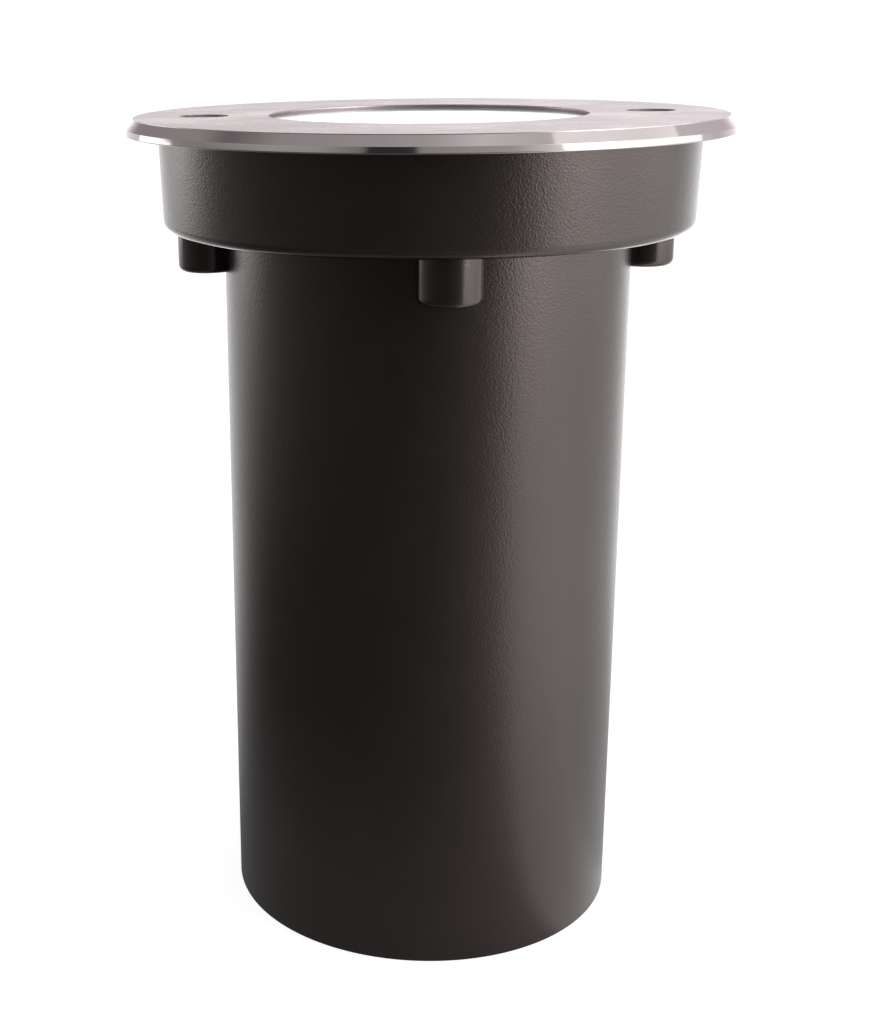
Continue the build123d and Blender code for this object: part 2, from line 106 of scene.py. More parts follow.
def make_camera():
    """Camera whose axes are built from yaw, pitch and roll, then turned with the light's screws."""
    forward = Vector((
        math.sin(camera_yaw) * math.cos(camera_pitch),
        math.cos(camera_yaw) * math.cos(camera_pitch),
        -math.sin(camera_pitch),
    ))
    right = Vector((math.cos(camera_yaw), -math.sin(camera_yaw), 0))
    up = right.cross(forward)
    rolled_right = math.cos(camera_roll) * right + math.sin(camera_roll) * up
    rolled_up = math.cos(camera_roll) * up - math.sin(camera_roll) * right
    axes = Matrix((rolled_right, rolled_up, -forward)).transposed().to_4x4()
    data = bpy.data.cameras.new("camera")
    data.sensor_width = sensor
    data.lens = focal_pixels / photo_height * sensor
    data.shift_x = (photo_centre_x - optical_centre_x) / photo_height
    data.clip_start = 0.01
    data.clip_end = 50.0
    camera = bpy.data.objects.new("camera", data)
    bpy.context.scene.collection.objects.link(camera)
    place = Matrix.Translation(sideways(0.0, camera_distance, trim_top * mm + camera_rise))
    camera.matrix_world = place @ Matrix.Rotation(-view_turn, 4, "Z") @ axes
    return camera


bpy.context.scene.camera = make_camera()
bpy.context.scene.view_settings.view_transform = "Standard"
print(f"lens {bpy.context.scene.camera.data.lens:.2f} mm")

# %% [markdown]
# ## Surfaces from two parameters
# Almost every piece of this light was turned, cast round an axis or cut from hexagon bar. So one function
# makes them all. It carries a list of rows round the axis: each row is one height with its radius, and the
# turn angle is the other parameter. A row may also have the flats of a hexagon, and a relief such as a
# screw thread, whose depth the row gives and whose pattern is a function of turn and height. A row that
# lies on the axis closes the surface at a pole, and a closed outline has no ends at all.

# %% Outlines with rounded corners
NO_FLAT = np.inf


def outline(*corners, steps=4):
    """Rows through corners (radius, height, rounding) in millimetres.

    A rounding becomes an arc that touches both sides: it starts at rounding / tan(half the corner's
    angle) from the corner, about a centre on the bisector, and is divided into equal steps.
    """
    points = np.array([c[:2] for c in corners], float)
    rounding = [c[2] if len(c) > 2 else 0.0 for c in corners]
    found = []
    for i, corner in enumerate(points):
        before, after = points[i - 1] - corner, points[(i + 1) % len(points)] - corner
        if rounding[i] == 0.0:
            found.append(corner[None])
            continue
        u, v = before / np.linalg.norm(before), after / np.linalg.norm(after)
        half = math.acos(np.clip(u @ v, -1, 1)) / 2
        start, end = (corner + side * rounding[i] / math.tan(half) for side in (u, v))
        centre = corner + (u + v) / np.linalg.norm(u + v) * rounding[i] / math.sin(half)
        first = math.atan2(*(start - centre)[::-1])
        turn = (math.atan2(*(end - centre)[::-1]) - first + math.pi) % (2 * math.pi) - math.pi
        angles = first + turn * np.linspace(0, 1, steps + 1)
        found.append(centre + rounding[i] * np.stack([np.cos(angles), np.sin(angles)], 1))
    return rows(np.concatenate(found))


def rows(points, flat=NO_FLAT, depth=0.0):
    """Rows (radius, height, hexagon flat, relief depth) from (radius, height) points."""
    points = np.asarray(points, float).reshape(-1, 2)
    extra = np.empty((len(points), 2))
    extra[:, 0] = flat
    extra[:, 1] = depth
    return np.hstack([points, extra])


def thread(radius, start, end, pitch, depth, rows_a_turn=8):
    """Rows of a threaded stretch, whose relief fades out over a pitch at both ends."""
    heights = np.linspace(start, end, int(abs(end - start) / pitch * rows_a_turn) + 2)
    fade = np.clip(np.minimum(abs(heights - start), abs(heights - end)) / pitch, 0, 1)
    return rows(np.stack([np.full_like(heights, radius), heights], 1), depth=depth * fade)


print("a square with rounded corners:", len(outline((0, 0, 1), (9, 0, 1), (9, 9, 1), (0, 9, 1))), "rows")

# %% Carry the rows round the axis
def hexagon(turn):
    """How much further out a hexagon's side is than its flat: 1 / cos(angle from the nearest flat)."""
    return 1 / np.cos(turn % (math.pi / 3) - math.pi / 6)


def helix(pitch):
    """Relief of a thread: the height less the turn's share of a pitch, folded into a V groove."""
    return lambda turn, height: abs(2 * ((height / pitch - turn / (2 * math.pi)) % 1) - 1)


def flutes(count):
    """Relief of upright flutes: half a cosine wave for each of them round the axis."""
    return lambda turn, height: 0.5 - 0.5 * np.cos(count * turn) + 0 * height


def spun(*parts, closed=False, segments=72, relief=None, lift=None):
    """Points and faces of the surface that the rows sweep round Z.

    At each turn the radius is the smaller of the row's round radius and its hexagon's side there, less
    the row's depth times the relief. Lift adds a height that depends on the turn. Each cell of the grid
    of rows and turns is a face.
    """
    radius, height, flat, depth = (column[:, None] for column in np.vstack(parts).T)
    turn = np.arange(segments)[None] * (2 * math.pi / segments)
    r = np.minimum(radius, flat * hexagon(turn))
    if relief is not None:
        r = r - depth * relief(turn, height)
    z = height + (0 * turn if lift is None else lift(turn))
    points = np.stack([r * np.cos(turn), r * np.sin(turn), z], -1) * mm
    index = np.arange(r.size).reshape(r.shape)
    beside = np.roll(index, -1, axis=1)
    faces = np.stack([index, beside, np.roll(beside, -1, 0), np.roll(index, -1, 0)], -1)
    return points.reshape(-1, 3), (faces if closed else faces[:-1]).reshape(-1, 4)


def placed(shape, *places):
    """The same shape at one or more places, each a 4 by 4 matrix, as one set of points and faces."""
    points, faces = shape
    matrices = np.array([np.array(place) for place in places])
    moved = np.einsum("pij,nj->pni", matrices[:, :3, :3], points) + matrices[:, None, :3, 3]
    shift = np.arange(len(places))[:, None, None] * len(points)
    return moved.reshape(-1, 3), (faces[None] + shift).reshape(-1, 4)


def at(x=0.0, y=0.0, z=0.0):
    """Matrix of a place, in millimetres."""
    return Matrix.Translation(Vector((x, y, z)) * mm)


def around(angle, distance, z=0.0):
    """Matrix of a place at an angle in degrees round the light's axis, turned with it."""
    return Matrix.Rotation(math.radians(angle), 4, "Z") @ at(distance, 0, z)


print("a hexagon's corner is", round(hexagon(0.0), 4), "times as far out as its flat")

# %% From arrays to objects
same_point = 0.0005 * mm
no_length = 0.0002 * mm


def clean(mesh):
    """Joins the points that meet at poles, drops faces without area and turns all faces outwards."""
    work = bmesh.new()
    work.from_mesh(mesh)
    bmesh.ops.remove_doubles(work, verts=work.verts, dist=same_point)
    bmesh.ops.dissolve_degenerate(work, edges=work.edges, dist=no_length)
    bmesh.ops.recalc_face_normals(work, faces=work.faces)
    work.to_mesh(mesh)
    work.free()


def solid(name, shape):
    """Object with the shape's points and faces, closed and facing outwards."""
    points, faces = shape
    mesh = bpy.data.meshes.new(name)
    mesh.from_pydata(points.tolist(), [], faces.tolist())
    clean(mesh)
    piece = bpy.data.objects.new(name, mesh)
    bpy.context.scene.collection.objects.link(piece)
    return piece


def carve(piece, tool, operation="DIFFERENCE"):
    """Takes a shape or a closed piece away from a piece, or joins it on, with an applied exact boolean."""
    if isinstance(tool, tuple):
        tool = solid("tool", tool)
    step = piece.modifiers.new("carve", "BOOLEAN")
    step.object = tool
    step.operation = operation
    step.solver = "EXACT"
    made = bpy.data.meshes.new_from_object(piece.evaluated_get(bpy.context.evaluated_depsgraph_get()))
    piece.modifiers.clear()
    piece.data = made
    bpy.data.objects.remove(tool)
    clean(made)
    return piece


def finished(piece, body, material, replaced, sharp_angle=35.0):
    """Shades a piece, gives it its finish and its body, and hides the node it stands for."""
    mesh = piece.data
    mesh.shade_smooth()
    mesh.set_sharp_from_angle(angle=math.radians(sharp_angle))
    even = piece.modifiers.new("even normals", "WEIGHTED_NORMAL")
    even.keep_sharp = True
    mesh.materials.clear()
    mesh.materials.append(material)
    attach(piece, body)
    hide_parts(replaced)
    print(f"{piece.name}: {len(mesh.polygons)} faces")
    return piece


print("points closer than", same_point / mm, "mm become one")

# %% [markdown]
# ## Shared effects for the finishes
# A finish is a colour, a roughness and a relief that vary over the surface. Effects that several finishes
# share are node groups, built once: the grain of powder coat or a casting, the rings that a lathe leaves,
# the streaks of rolled sheet, and the faint marks of handling. All of them read the piece's own
# coordinates, so the pattern stays on the piece when it moves.

# %% Helpers for node groups
def new_group(name, inputs, outputs):
    """Empty shader group with float inputs (name, value), a Vector input and float outputs."""
    group = bpy.data.node_groups.new(name, "ShaderNodeTree")
    group.interface.new_socket("Vector", in_out="INPUT", socket_type="NodeSocketVector")
    for label, value in inputs:
        socket = group.interface.new_socket(label, in_out="INPUT", socket_type="NodeSocketFloat")
        socket.default_value = value
    for label in outputs:
        group.interface.new_socket(label, in_out="OUTPUT", socket_type="NodeSocketFloat")
    return group, group.nodes.new("NodeGroupInput"), group.nodes.new("NodeGroupOutput")


def math_node(tree, operation, *values):
    """A Math node whose inputs are numbers or sockets, and its output socket."""
    node = tree.nodes.new("ShaderNodeMath")
    node.operation = operation
    for socket, value in zip(node.inputs, values):
        if isinstance(value, (int, float)):
            socket.default_value = value
        else:
            tree.links.new(value, socket)
    return node.outputs[0]


def noise(tree, vector, scale, detail=2.0, dimensions="3D", roughness=0.5):
    """A Noise Texture on a vector (or, in one dimension, on a number), and its value socket."""
    node = tree.nodes.new("ShaderNodeTexNoise")
    node.noise_dimensions = dimensions
    node.inputs["Detail"].default_value = detail
    node.inputs["Roughness"].default_value = roughness
    tree.links.new(vector, node.inputs["W" if dimensions == "1D" else "Vector"])
    if isinstance(scale, (int, float)):
        node.inputs["Scale"].default_value = scale
    else:
        tree.links.new(scale, node.inputs["Scale"])
    return node.outputs["Fac"]


def remap(tree, value, low, high, to_low=0.0, to_high=1.0):
    """A Map Range node with a smooth step, and its output socket."""
    node = tree.nodes.new("ShaderNodeMapRange")
    node.interpolation_type = "SMOOTHSTEP"
    for label, number in zip(("From Min", "From Max", "To Min", "To Max"), (low, high, to_low, to_high)):
        node.inputs[label].default_value = number
    tree.links.new(value, node.inputs["Value"])
    return node.outputs["Result"]


def mask(tree, value, start, width, falling=False):
    """A mask that rises from 0 to 1, or falls from 1 to 0, over a width in millimetres."""
    ends = (1.0, 0.0) if falling else (0.0, 1.0)
    return remap(tree, value, start * mm, (start + width) * mm, *ends)


def axes_of(tree, vector):
    """The sockets of a vector's X, Y and Z."""
    node = tree.nodes.new("ShaderNodeSeparateXYZ")
    tree.links.new(vector, node.inputs[0])
    return node.outputs


def radius_of(tree, vector):
    """Distance of a point from the Z axis, and the sockets of its X, Y and Z."""
    axes = axes_of(tree, vector)
    squares = [math_node(tree, "MULTIPLY", axes[i], axes[i]) for i in (0, 1)]
    return math_node(tree, "SQRT", math_node(tree, "ADD", *squares)), axes


def stretched(tree, vector, x, y, z):
    """The vector with each axis scaled by itself, for patterns that run one way."""
    node = tree.nodes.new("ShaderNodeMapping")
    node.inputs["Scale"].default_value = (x, y, z)
    tree.links.new(vector, node.inputs["Vector"])
    return node.outputs[0]


def new_material(name):
    """Material with nodes, and with it its tree, its shader and the piece's own coordinates."""
    material = bpy.data.materials.new(name)
    material.use_nodes = True
    tree = material.node_tree
    coordinates = tree.nodes.new("ShaderNodeTexCoord").outputs["Object"]
    return material, tree, tree.nodes["Principled BSDF"], coordinates


# %% The four shared effects
def make_grain():
    """Grain of a given size in metres: fine bumps, with a slower unevenness below them."""
    slow_scale, slow_height, patch_scale = 0.22, 0.2, 0.03
    group, start, end = new_group("grain", [("Size", 0.5 * mm)], ["Height", "Patches"])
    scale = math_node(group, "DIVIDE", 1.0, start.outputs["Size"])
    fine = noise(group, start.outputs["Vector"], scale, 1.5)
    slow = noise(group, start.outputs["Vector"], math_node(group, "MULTIPLY", scale, slow_scale), 1.0)
    height = math_node(group, "MULTIPLY_ADD", slow, slow_height, fine)
    group.links.new(height, end.inputs["Height"])
    patches = noise(group, start.outputs["Vector"], math_node(group, "MULTIPLY", scale, patch_scale), 3.0)
    group.links.new(patches, end.inputs["Patches"])
    return group


def make_turning():
    """Rings of a lathe tool: noise along the radius and the height, and slow blurred patches across it."""
    patch_scale = 45.0
    group, start, end = new_group("turning", [("Pitch", 0.15 * mm)], ["Height", "Tone"])
    radius, axes = radius_of(group, start.outputs["Vector"])
    along = math_node(group, "ADD", radius, axes["Z"])
    scale = math_node(group, "DIVIDE", 1.0, start.outputs["Pitch"])
    rings = noise(group, along, scale, 3.0, dimensions="1D", roughness=0.7)
    group.links.new(rings, end.inputs["Height"])
    tone = noise(group, start.outputs["Vector"], patch_scale, 3.0, roughness=0.6)
    group.links.new(tone, end.inputs["Tone"])
    return group


def make_streaks():
    """Rolling streaks of sheet metal: noise drawn out along Z, over soft blotches of the plating."""
    drawn_out, blotch_scale = 0.02, 140.0
    group, start, end = new_group("streaks", [("Width", 0.2 * mm)], ["Height", "Tone"])
    scale = math_node(group, "DIVIDE", 1.0, start.outputs["Width"])
    along = stretched(group, start.outputs["Vector"], 1.0, 1.0, drawn_out)
    group.links.new(noise(group, along, scale, 2.0), end.inputs["Height"])
    group.links.new(noise(group, start.outputs["Vector"], blotch_scale, 3.0), end.inputs["Tone"])
    return group


def make_handling():
    """Marks of handling: soft smears, and fine specks of dust that cover a small share of the surface."""
    smear_scale, speck_scale, speck_start, speck_full = 60.0, 1800.0, 0.74, 0.80
    group, start, end = new_group("handling", [("Amount", 0.1)], ["Roughness change", "Dust"])
    smears = noise(group, stretched(group, start.outputs["Vector"], 1.0, 1.0, 0.5), smear_scale, 4.0)
    centred = math_node(group, "SUBTRACT", smears, 0.5)
    change = math_node(group, "MULTIPLY", centred, start.outputs["Amount"])
    group.links.new(change, end.inputs["Roughness change"])
    specks = noise(group, start.outputs["Vector"], speck_scale, 0.0)
    group.links.new(remap(group, specks, speck_start, speck_full), end.inputs["Dust"])
    return group


effects = {
    "grain": make_grain(),
    "turning": make_turning(),
    "streaks": make_streaks(),
    "handling": make_handling(),
}
print("effects:", ", ".join(effects))

# %% [markdown]
# ## A finish in one call
# Each finish starts from the same small set of facts: its colour, how rough it is, whether it is metal,
# which effect gives its relief and how deep that is. The function sets what is the same all over on the
# shader's own sockets, and links only what changes over the surface.

# %% One function for a finish
def place_effect(tree, name, vector, value):
    """Puts a shared effect into a material with its own value, and gives its output sockets."""
    node = tree.nodes.new("ShaderNodeGroup")
    node.node_tree = effects[name]
    tree.links.new(vector, node.inputs["Vector"])
    node.inputs[1].default_value = value
    return node.outputs


def blend_colours(tree, factor, first, second):
    """Mix node between two colours or colour sockets."""
    node = tree.nodes.new("ShaderNodeMix")
    node.data_type = "RGBA"
    tree.links.new(factor, node.inputs["Factor"])
    for socket, colour in zip((node.inputs["A"], node.inputs["B"]), (first, second)):
        if isinstance(colour, tuple):
            socket.default_value = (*colour, 1.0)
        else:
            tree.links.new(colour, socket)
    return node.outputs["Result"]


dust_colour = (0.42, 0.40, 0.37)
tone_from, tone_to = 0.35, 0.65


def finish(slot, colour, tone, roughness, effect, size, depth, metallic=0.0, handling=0.10, dust=0.25,
           **plain):
    """Material for one slot of the record; size and depth are in millimetres.

    The effect's second output blends colour and tone, and its first is the relief, as high as depth.
    Handling changes the roughness and lays a share of dust specks over the colour. Plain values go
    straight to the shader's own sockets.
    """
    material, tree, shader, coordinates = new_material(slot)
    material["slot"] = slot
    relief = place_effect(tree, effect, coordinates, size * mm)
    marks = place_effect(tree, "handling", coordinates, handling)
    coloured = blend_colours(tree, remap(tree, relief[1], tone_from, tone_to), colour, tone)
    dusted = blend_colours(tree, math_node(tree, "MULTIPLY", marks[1], dust), coloured, dust_colour)
    tree.links.new(dusted, shader.inputs["Base Color"])
    rough = math_node(tree, "ADD", marks[0], roughness)
    tree.links.new(rough, shader.inputs["Roughness"])
    bump = tree.nodes.new("ShaderNodeBump")
    bump.name = "relief"
    bump.inputs["Distance"].default_value = depth * mm
    tree.links.new(relief[0], bump.inputs["Height"])
    tree.links.new(bump.outputs[0], shader.inputs["Normal"])
    shader.inputs["Metallic"].default_value = metallic
    for label, value in plain.items():
        shader.inputs[label.replace("_", " ")].default_value = value
    return material


print("dust of colour", dust_colour, "lies on every finish that asks for it")

# %% [markdown]
# ## The finishes of this light
# Everything inside is plain hardware: zinc plated sheet and screws, turned and nickel plated brass, a
# glazed ceramic lamp holder, rubber and a few plastics. They differ in colour, in roughness and in the
# scale of their relief, so one line each is enough.

# %% Finishes in one line each
finishes = {f["slot"]: f for f in (
    finish("screw_steel", (0.60, 0.59, 0.58), (0.50, 0.49, 0.48), 0.22, "turning", 0.10, 0.004, 1.0),
    finish("retainer_nylon", (0.72, 0.70, 0.64), (0.66, 0.64, 0.58), 0.45, "grain", 0.3, 0.01,
           Subsurface_Weight=0.15, Subsurface_Scale=1 * mm),
    finish("clamp_aluminium", (0.56, 0.56, 0.57), (0.48, 0.48, 0.49), 0.34, "turning", 0.22, 0.012, 1.0),
    finish("gasket_rubber", (0.022, 0.022, 0.023), (0.030, 0.030, 0.030), 0.62, "grain", 0.25, 0.01),
    finish("seal_rubber", (0.028, 0.028, 0.028), (0.036, 0.035, 0.034), 0.58, "grain", 0.2, 0.01),
    finish("zinc_sheet", (0.60, 0.63, 0.66), (0.54, 0.57, 0.605), 0.34, "streaks", 0.16, 0.006, 1.0),
    finish("zinc_screw", (0.66, 0.68, 0.70), (0.55, 0.58, 0.62), 0.24, "turning", 0.12, 0.004, 1.0),
    finish("earth_brass", (0.72, 0.52, 0.22), (0.60, 0.42, 0.17), 0.26, "turning", 0.12, 0.004, 1.0),
    finish("holder_ceramic", (0.78, 0.76, 0.70), (0.72, 0.69, 0.62), 0.30, "grain", 1.2, 0.03,
           Coat_Weight=0.6, Coat_Roughness=0.12),
    finish("block_plastic", (0.74, 0.72, 0.65), (0.69, 0.66, 0.59), 0.42, "grain", 0.25, 0.008),
    finish("lead_silicone", (0.66, 0.64, 0.60), (0.58, 0.55, 0.50), 0.55, "streaks", 0.35, 0.03),
    finish("lamp_shell", (0.62, 0.62, 0.62), (0.55, 0.55, 0.55), 0.38, "grain", 0.35, 0.012, 0.6),
    finish("lamp_front", (0.80, 0.80, 0.76), (0.74, 0.74, 0.69), 0.20, "grain", 0.9, 0.02,
           Coat_Weight=0.5, Coat_Roughness=0.05, Subsurface_Weight=0.2, Subsurface_Scale=2 * mm),
    finish("pin_nickel", (0.66, 0.63, 0.58), (0.58, 0.55, 0.50), 0.20, "turning", 0.10, 0.003, 1.0),
    finish("gland_nickel", (0.62, 0.60, 0.55), (0.50, 0.48, 0.44), 0.24, "turning", 0.14, 0.005, 1.0),
)}
print(len(finishes), "plain finishes")

# %% [markdown]
# ## The powder coat
# Powder coat on a casting has a grain of about half a millimetre. It hardly shows in the dark parts, but
# where a reflection begins it breaks up into glitter, so it is a real relief and not a colour. The four
# bosses and the collar's lower edge are smoother than the rest: their grain fades by its place, outside
# the tube and below the collar's wall.

# %% Powder coat of the housing
collar_underside = 156.5
tube_radius = 44.2


def make_coat():
    """Dark bronze powder coat, grainy on the walls, smoother on the bosses and the collar's lower edge."""
    grain_lost, roughness_change = -0.75, -0.12
    material = finish("housing_coat", (0.0130, 0.0100, 0.0094), (0.0165, 0.0126, 0.0116), 0.26,
                      "grain", 0.42, 0.060, handling=0.06, dust=0.0,
                      Specular_IOR_Level=0.9, Specular_Tint=(1.0, 0.84, 0.81, 1.0))
    tree = material.node_tree
    coordinates = tree.nodes["Texture Coordinate"].outputs["Object"]
    radius, axes = radius_of(tree, coordinates)
    outside = mask(tree, radius, tube_radius + 0.8, 1.0)
    below = mask(tree, axes["Z"], collar_underside + 0.7, 1.0, falling=True)
    smooth = math_node(tree, "MULTIPLY", outside, below)
    bump = tree.nodes["relief"]
    grain = bump.inputs["Height"].links[0].from_socket
    weight = math_node(tree, "MULTIPLY_ADD", smooth, grain_lost, 1.0)
    tree.links.new(math_node(tree, "MULTIPLY", grain, weight), bump.inputs["Height"])
    rough = tree.nodes["Principled BSDF"].inputs["Roughness"]
    smoother = math_node(tree, "MULTIPLY_ADD", smooth, roughness_change, rough.links[0].from_socket)
    tree.links.new(smoother, rough)
    return material


finishes["housing_coat"] = make_coat()
print("housing_coat:", len(finishes["housing_coat"].node_tree.nodes), "nodes")

# %% [markdown]
# ## The steel ring
# The face of the ring is satin, with the rings of the lathe and soft pinkish-grey patches. The bevel and
# the upright edge below it are polished, so they show the room in patches with clear borders. The cones
# of the screw holes are cut smooth, and the wall of the opening is dull; both also get painted shade, a
# darker colour where these recesses would lie in shadow. One material does it all, by the radius and the
# level of each place.

# %% Turned and polished steel
face_radius = 63.1
bevel_level = 177.9
opening_edge = 36.0
# near-black colour for the painted shade in the holes and on the opening's wall
recess_shade_colour = (0.04, 0.035, 0.033)
bevel_relief, bevel_roughness = -0.90, -0.19
wall_roughness, wall_painted_shade = 0.2, 0.35
hole_roughness, hole_painted_shade = -0.16, 0.55
smoothest = 0.06


def make_trim_steel():
    """Stainless steel: satin face, polished bevel and edge, smooth holes and a dull opening, both darkened
    with painted shade.
    """
    material = finish("trim_steel", (0.592, 0.532, 0.534), (0.564, 0.504, 0.507), 0.27,
                      "turning", 0.16, 0.018, metallic=1.0, handling=0.16, dust=0.10,
                      Specular_Tint=(0.80, 0.735, 0.757, 1.0))
    tree = material.node_tree
    shader = tree.nodes["Principled BSDF"]
    coordinates = tree.nodes["Texture Coordinate"].outputs["Object"]
    radius, axes = radius_of(tree, coordinates)
    polished = mask(tree, radius, face_radius - 0.05, 0.15)
    inner = mask(tree, radius, opening_edge, 1.0, falling=True)
    wall = math_node(tree, "MULTIPLY", inner, mask(tree, axes["Z"], trim_top - 0.42, 0.20, falling=True))
    face = math_node(tree, "SUBTRACT", mask(tree, radius, face_radius - 2, 1.0, falling=True), inner)
    sunk = math_node(tree, "MULTIPLY", face, mask(tree, axes["Z"], trim_top - 0.06, 0.04, falling=True))
    bump = tree.nodes["relief"]
    weight = math_node(tree, "MULTIPLY_ADD", polished, bevel_relief, 1.0)
    rings = bump.inputs["Height"].links[0].from_socket
    tree.links.new(math_node(tree, "MULTIPLY", rings, weight), bump.inputs["Height"])
    rough = shader.inputs["Roughness"]
    smoother = math_node(tree, "MULTIPLY_ADD", polished, bevel_roughness, rough.links[0].from_socket)
    duller = math_node(tree, "MULTIPLY_ADD", wall, wall_roughness, smoother)
    glinting = math_node(tree, "MULTIPLY_ADD", sunk, hole_roughness, duller)
    tree.links.new(math_node(tree, "MAXIMUM", glinting, smoothest), rough)
    colour = shader.inputs["Base Color"]
    # painted shade: the opening's wall and the sunk holes are blended towards a dark colour, as if in
    # shadow
    painted_shade = math_node(tree, "MULTIPLY", wall, wall_painted_shade)
    painted_shade = math_node(tree, "MULTIPLY_ADD", sunk, hole_painted_shade, painted_shade)
    tree.links.new(blend_colours(tree, painted_shade, colour.links[0].from_socket, recess_shade_colour), colour)
    return material


finishes["trim_steel"] = make_trim_steel()
print("trim_steel:", len(finishes["trim_steel"].node_tree.nodes), "nodes")

# %% [markdown]
# ## The glass
# The glass is clear toughened glass whose underside is ground, so that the lamp behind it is a soft glow.
# It is a real volume with two surfaces. The top is polished; near the underside the roughness rises, and a
# share of white scatters the daylight back.

# %% Ground glass
ground_up_to, polished_from = 0.2, 0.5
ground_roughness, polished_roughness = 0.55, 0.10
glass_tint = (0.95, 0.97, 0.96)
clear_share = 0.62
glass_index = 1.52
glass_handling, glass_dust = 0.03, 0.12


def make_glass():
    """Clear glass that is polished above and ground below."""
    material, tree, shader, coordinates = new_material("lens_glass")
    material["slot"] = "lens_glass"
    ground = remap(tree, axes_of(tree, coordinates)["Z"], (glass_bottom + ground_up_to) * mm,
                   (glass_bottom + polished_from) * mm, ground_roughness, polished_roughness)
    marks = place_effect(tree, "handling", coordinates, glass_handling)
    tree.links.new(math_node(tree, "ADD", ground, marks[0]), shader.inputs["Roughness"])
    dusty = math_node(tree, "MULTIPLY", marks[1], glass_dust)
    tree.links.new(blend_colours(tree, dusty, glass_tint, dust_colour), shader.inputs["Base Color"])
    shader.inputs["Transmission Weight"].default_value = clear_share
    shader.inputs["IOR"].default_value = glass_index
    return material


finishes["lens_glass"] = make_glass()
print(len(finishes), "finishes in all")

# %% [markdown]
# ## The housing
# The housing is one casting: a long tube with a floor, a collar on top and four screw bosses under the
# collar. Its wall is a closed outline carried round the axis. The bosses, pads and holes aren't round
# about that axis, so they are turned about their own axes and joined on, or cut, with exact booleans.

# %% Housing: the turned wall
bore_radius = 39.9
pitch_radius = 48.0
boss_radius = 6.5
boss_bottom = 147.0
tapped_radius = 2.58
tapped_bottom = boss_bottom + 2.5
pocket_radius = 54.0
pocket_floor = 173.4
seat_radius = 43.9
seat_level = 166.6
rib_radius = 45.9
groove_floor = 160.1
floor_bottom = 27.0
floor_top = 32.0
gland_hole_radius = 10.1
pad_pitch_radius = 23.0
pad_radius = 5.5
pad_top = 35.0
earth_angle = 225
pad_angles = (90, 270, earth_angle)
m4_hole_radius = 2.08


def cylinder(radius, low, high):
    """Rows of a plain cylinder between two levels."""
    return outline((0, low), (radius, low), (radius, high), (0, high))


def make_housing():
    """The casting: a closed outline of wall, floor, collar and groove, with four bosses and three pads."""
    wall = outline(
        (gland_hole_radius, floor_bottom, 0.3),
        (bore_radius, floor_bottom, 2.5),
        (bore_radius, foot_level, 0.8),
        (tube_radius, foot_level, 0.3),
        (tube_radius, collar_underside, 0.9),
        (collar_r - 0.7, collar_underside, 2.2),
        (collar_r, collar_top, 0.35),
        (pocket_radius, collar_top, 0.3),
        (pocket_radius, groove_floor, 1.0),
        (rib_radius, groove_floor, 1.0),
        (rib_radius, pocket_floor, 0.3),
        (seat_radius, pocket_floor, 0.3),
        (seat_radius, seat_level, 0.3),
        (bore_radius, seat_level, 0.3),
        (bore_radius, floor_top, 2.5),
        (gland_hole_radius, floor_top, 0.3),
        steps=5,
    )
    piece = solid("housing_casting", spun(wall, closed=True, segments=288))
    quarters = [around(90 * i, pitch_radius) for i in range(4)]
    tower = outline((0, boss_bottom), (boss_radius, boss_bottom, 1.5), (boss_radius, pocket_floor),
                    (0, pocket_floor))
    bosses = solid("bosses", placed(spun(tower, segments=96), *quarters))
    room = spun(cylinder(seat_radius, foot_level, collar_top), segments=288)
    carve(piece, carve(bosses, room), "UNION")
    spots = [around(angle, pad_pitch_radius) for angle in pad_angles]
    pad = outline((0, floor_top - 1), (pad_radius, floor_top - 1), (pad_radius, pad_top, 0.4), (0, pad_top))
    carve(piece, placed(spun(pad, segments=48), *spots), "UNION")
    carve(piece, placed(spun(cylinder(tapped_radius, tapped_bottom, collar_top), segments=48), *quarters))
    small = cylinder(m4_hole_radius, floor_bottom + 1, pad_top + 1)
    return carve(piece, placed(spun(small, segments=32), *spots))


finished(make_housing(), "housing", finishes["housing_coat"], "housing")

# %% [markdown]
# ## The trim ring
# A ring turned from stainless plate: flat face, a tiny step down, a bevel all round, a thin edge that
# leans in a little, and a lip below that hangs round the collar. The two screw holes are countersunk.
# Their edges are broken by nearly a fifth of a millimetre, because it is that tiny chamfer that sparkles
# in the photograph.

# %% Trim ring with its two sunk holes
opening_radius = 34.25
collar_clearance = 0.3
face_step = 0.15
edge_lean = 0.28
hole_radius = 2.8
sink_radius = 5.2
edge_break = 0.18


def sunk_hole(top, through):
    """Cutter for a countersunk hole: a cylinder, a 45 degree cone and the broken edge at its mouth."""
    return spun(outline(
        (0, through),
        (hole_radius, through),
        (hole_radius, top - sink_radius + hole_radius),
        (sink_radius, top - edge_break),
        (sink_radius + 2 * edge_break, top + edge_break),
        (sink_radius + 2 * edge_break, top + 1),
        (0, top + 1),
    ), segments=96)


def make_trim_ring():
    """The ring's closed outline, carried round, with a sunk hole on each side."""
    section = outline(
        (opening_radius, collar_top, 0.15),
        (collar_r + collar_clearance, collar_top, 0.1),
        (collar_r + collar_clearance, lip_level, 0.1),
        (trim_r, lip_level, 0.25),
        (trim_r - edge_lean, bevel_level, 0.20),
        (face_radius, trim_top - face_step),
        (face_radius, trim_top, 0.04),
        (opening_radius, trim_top, 0.18),
        steps=4,
    )
    ring = solid("trim_ring_turned", spun(section, closed=True, segments=360))
    cutter = sunk_hole(trim_top, lip_level - 1)
    return carve(ring, placed(cutter, at(-pitch_radius), at(pitch_radius)))


finished(make_trim_ring(), "trim", finishes["trim_steel"], "trim_ring")

# %% [markdown]
# ## Glass, gasket and clamp ring
# These three go in together. The glass is stepped: its upper disc fills the ring's opening, and its flange
# below is wrapped in a rubber channel, which the clamp ring presses down.

# %% Glass, gasket and clamp ring
step_radius = 33.9
flange_top = 172.6
lower_lip, upper_lip = 3.6, 5.6
lip_gap = 0.05
clamp_opening = 35.4
passage_radius = 4.6


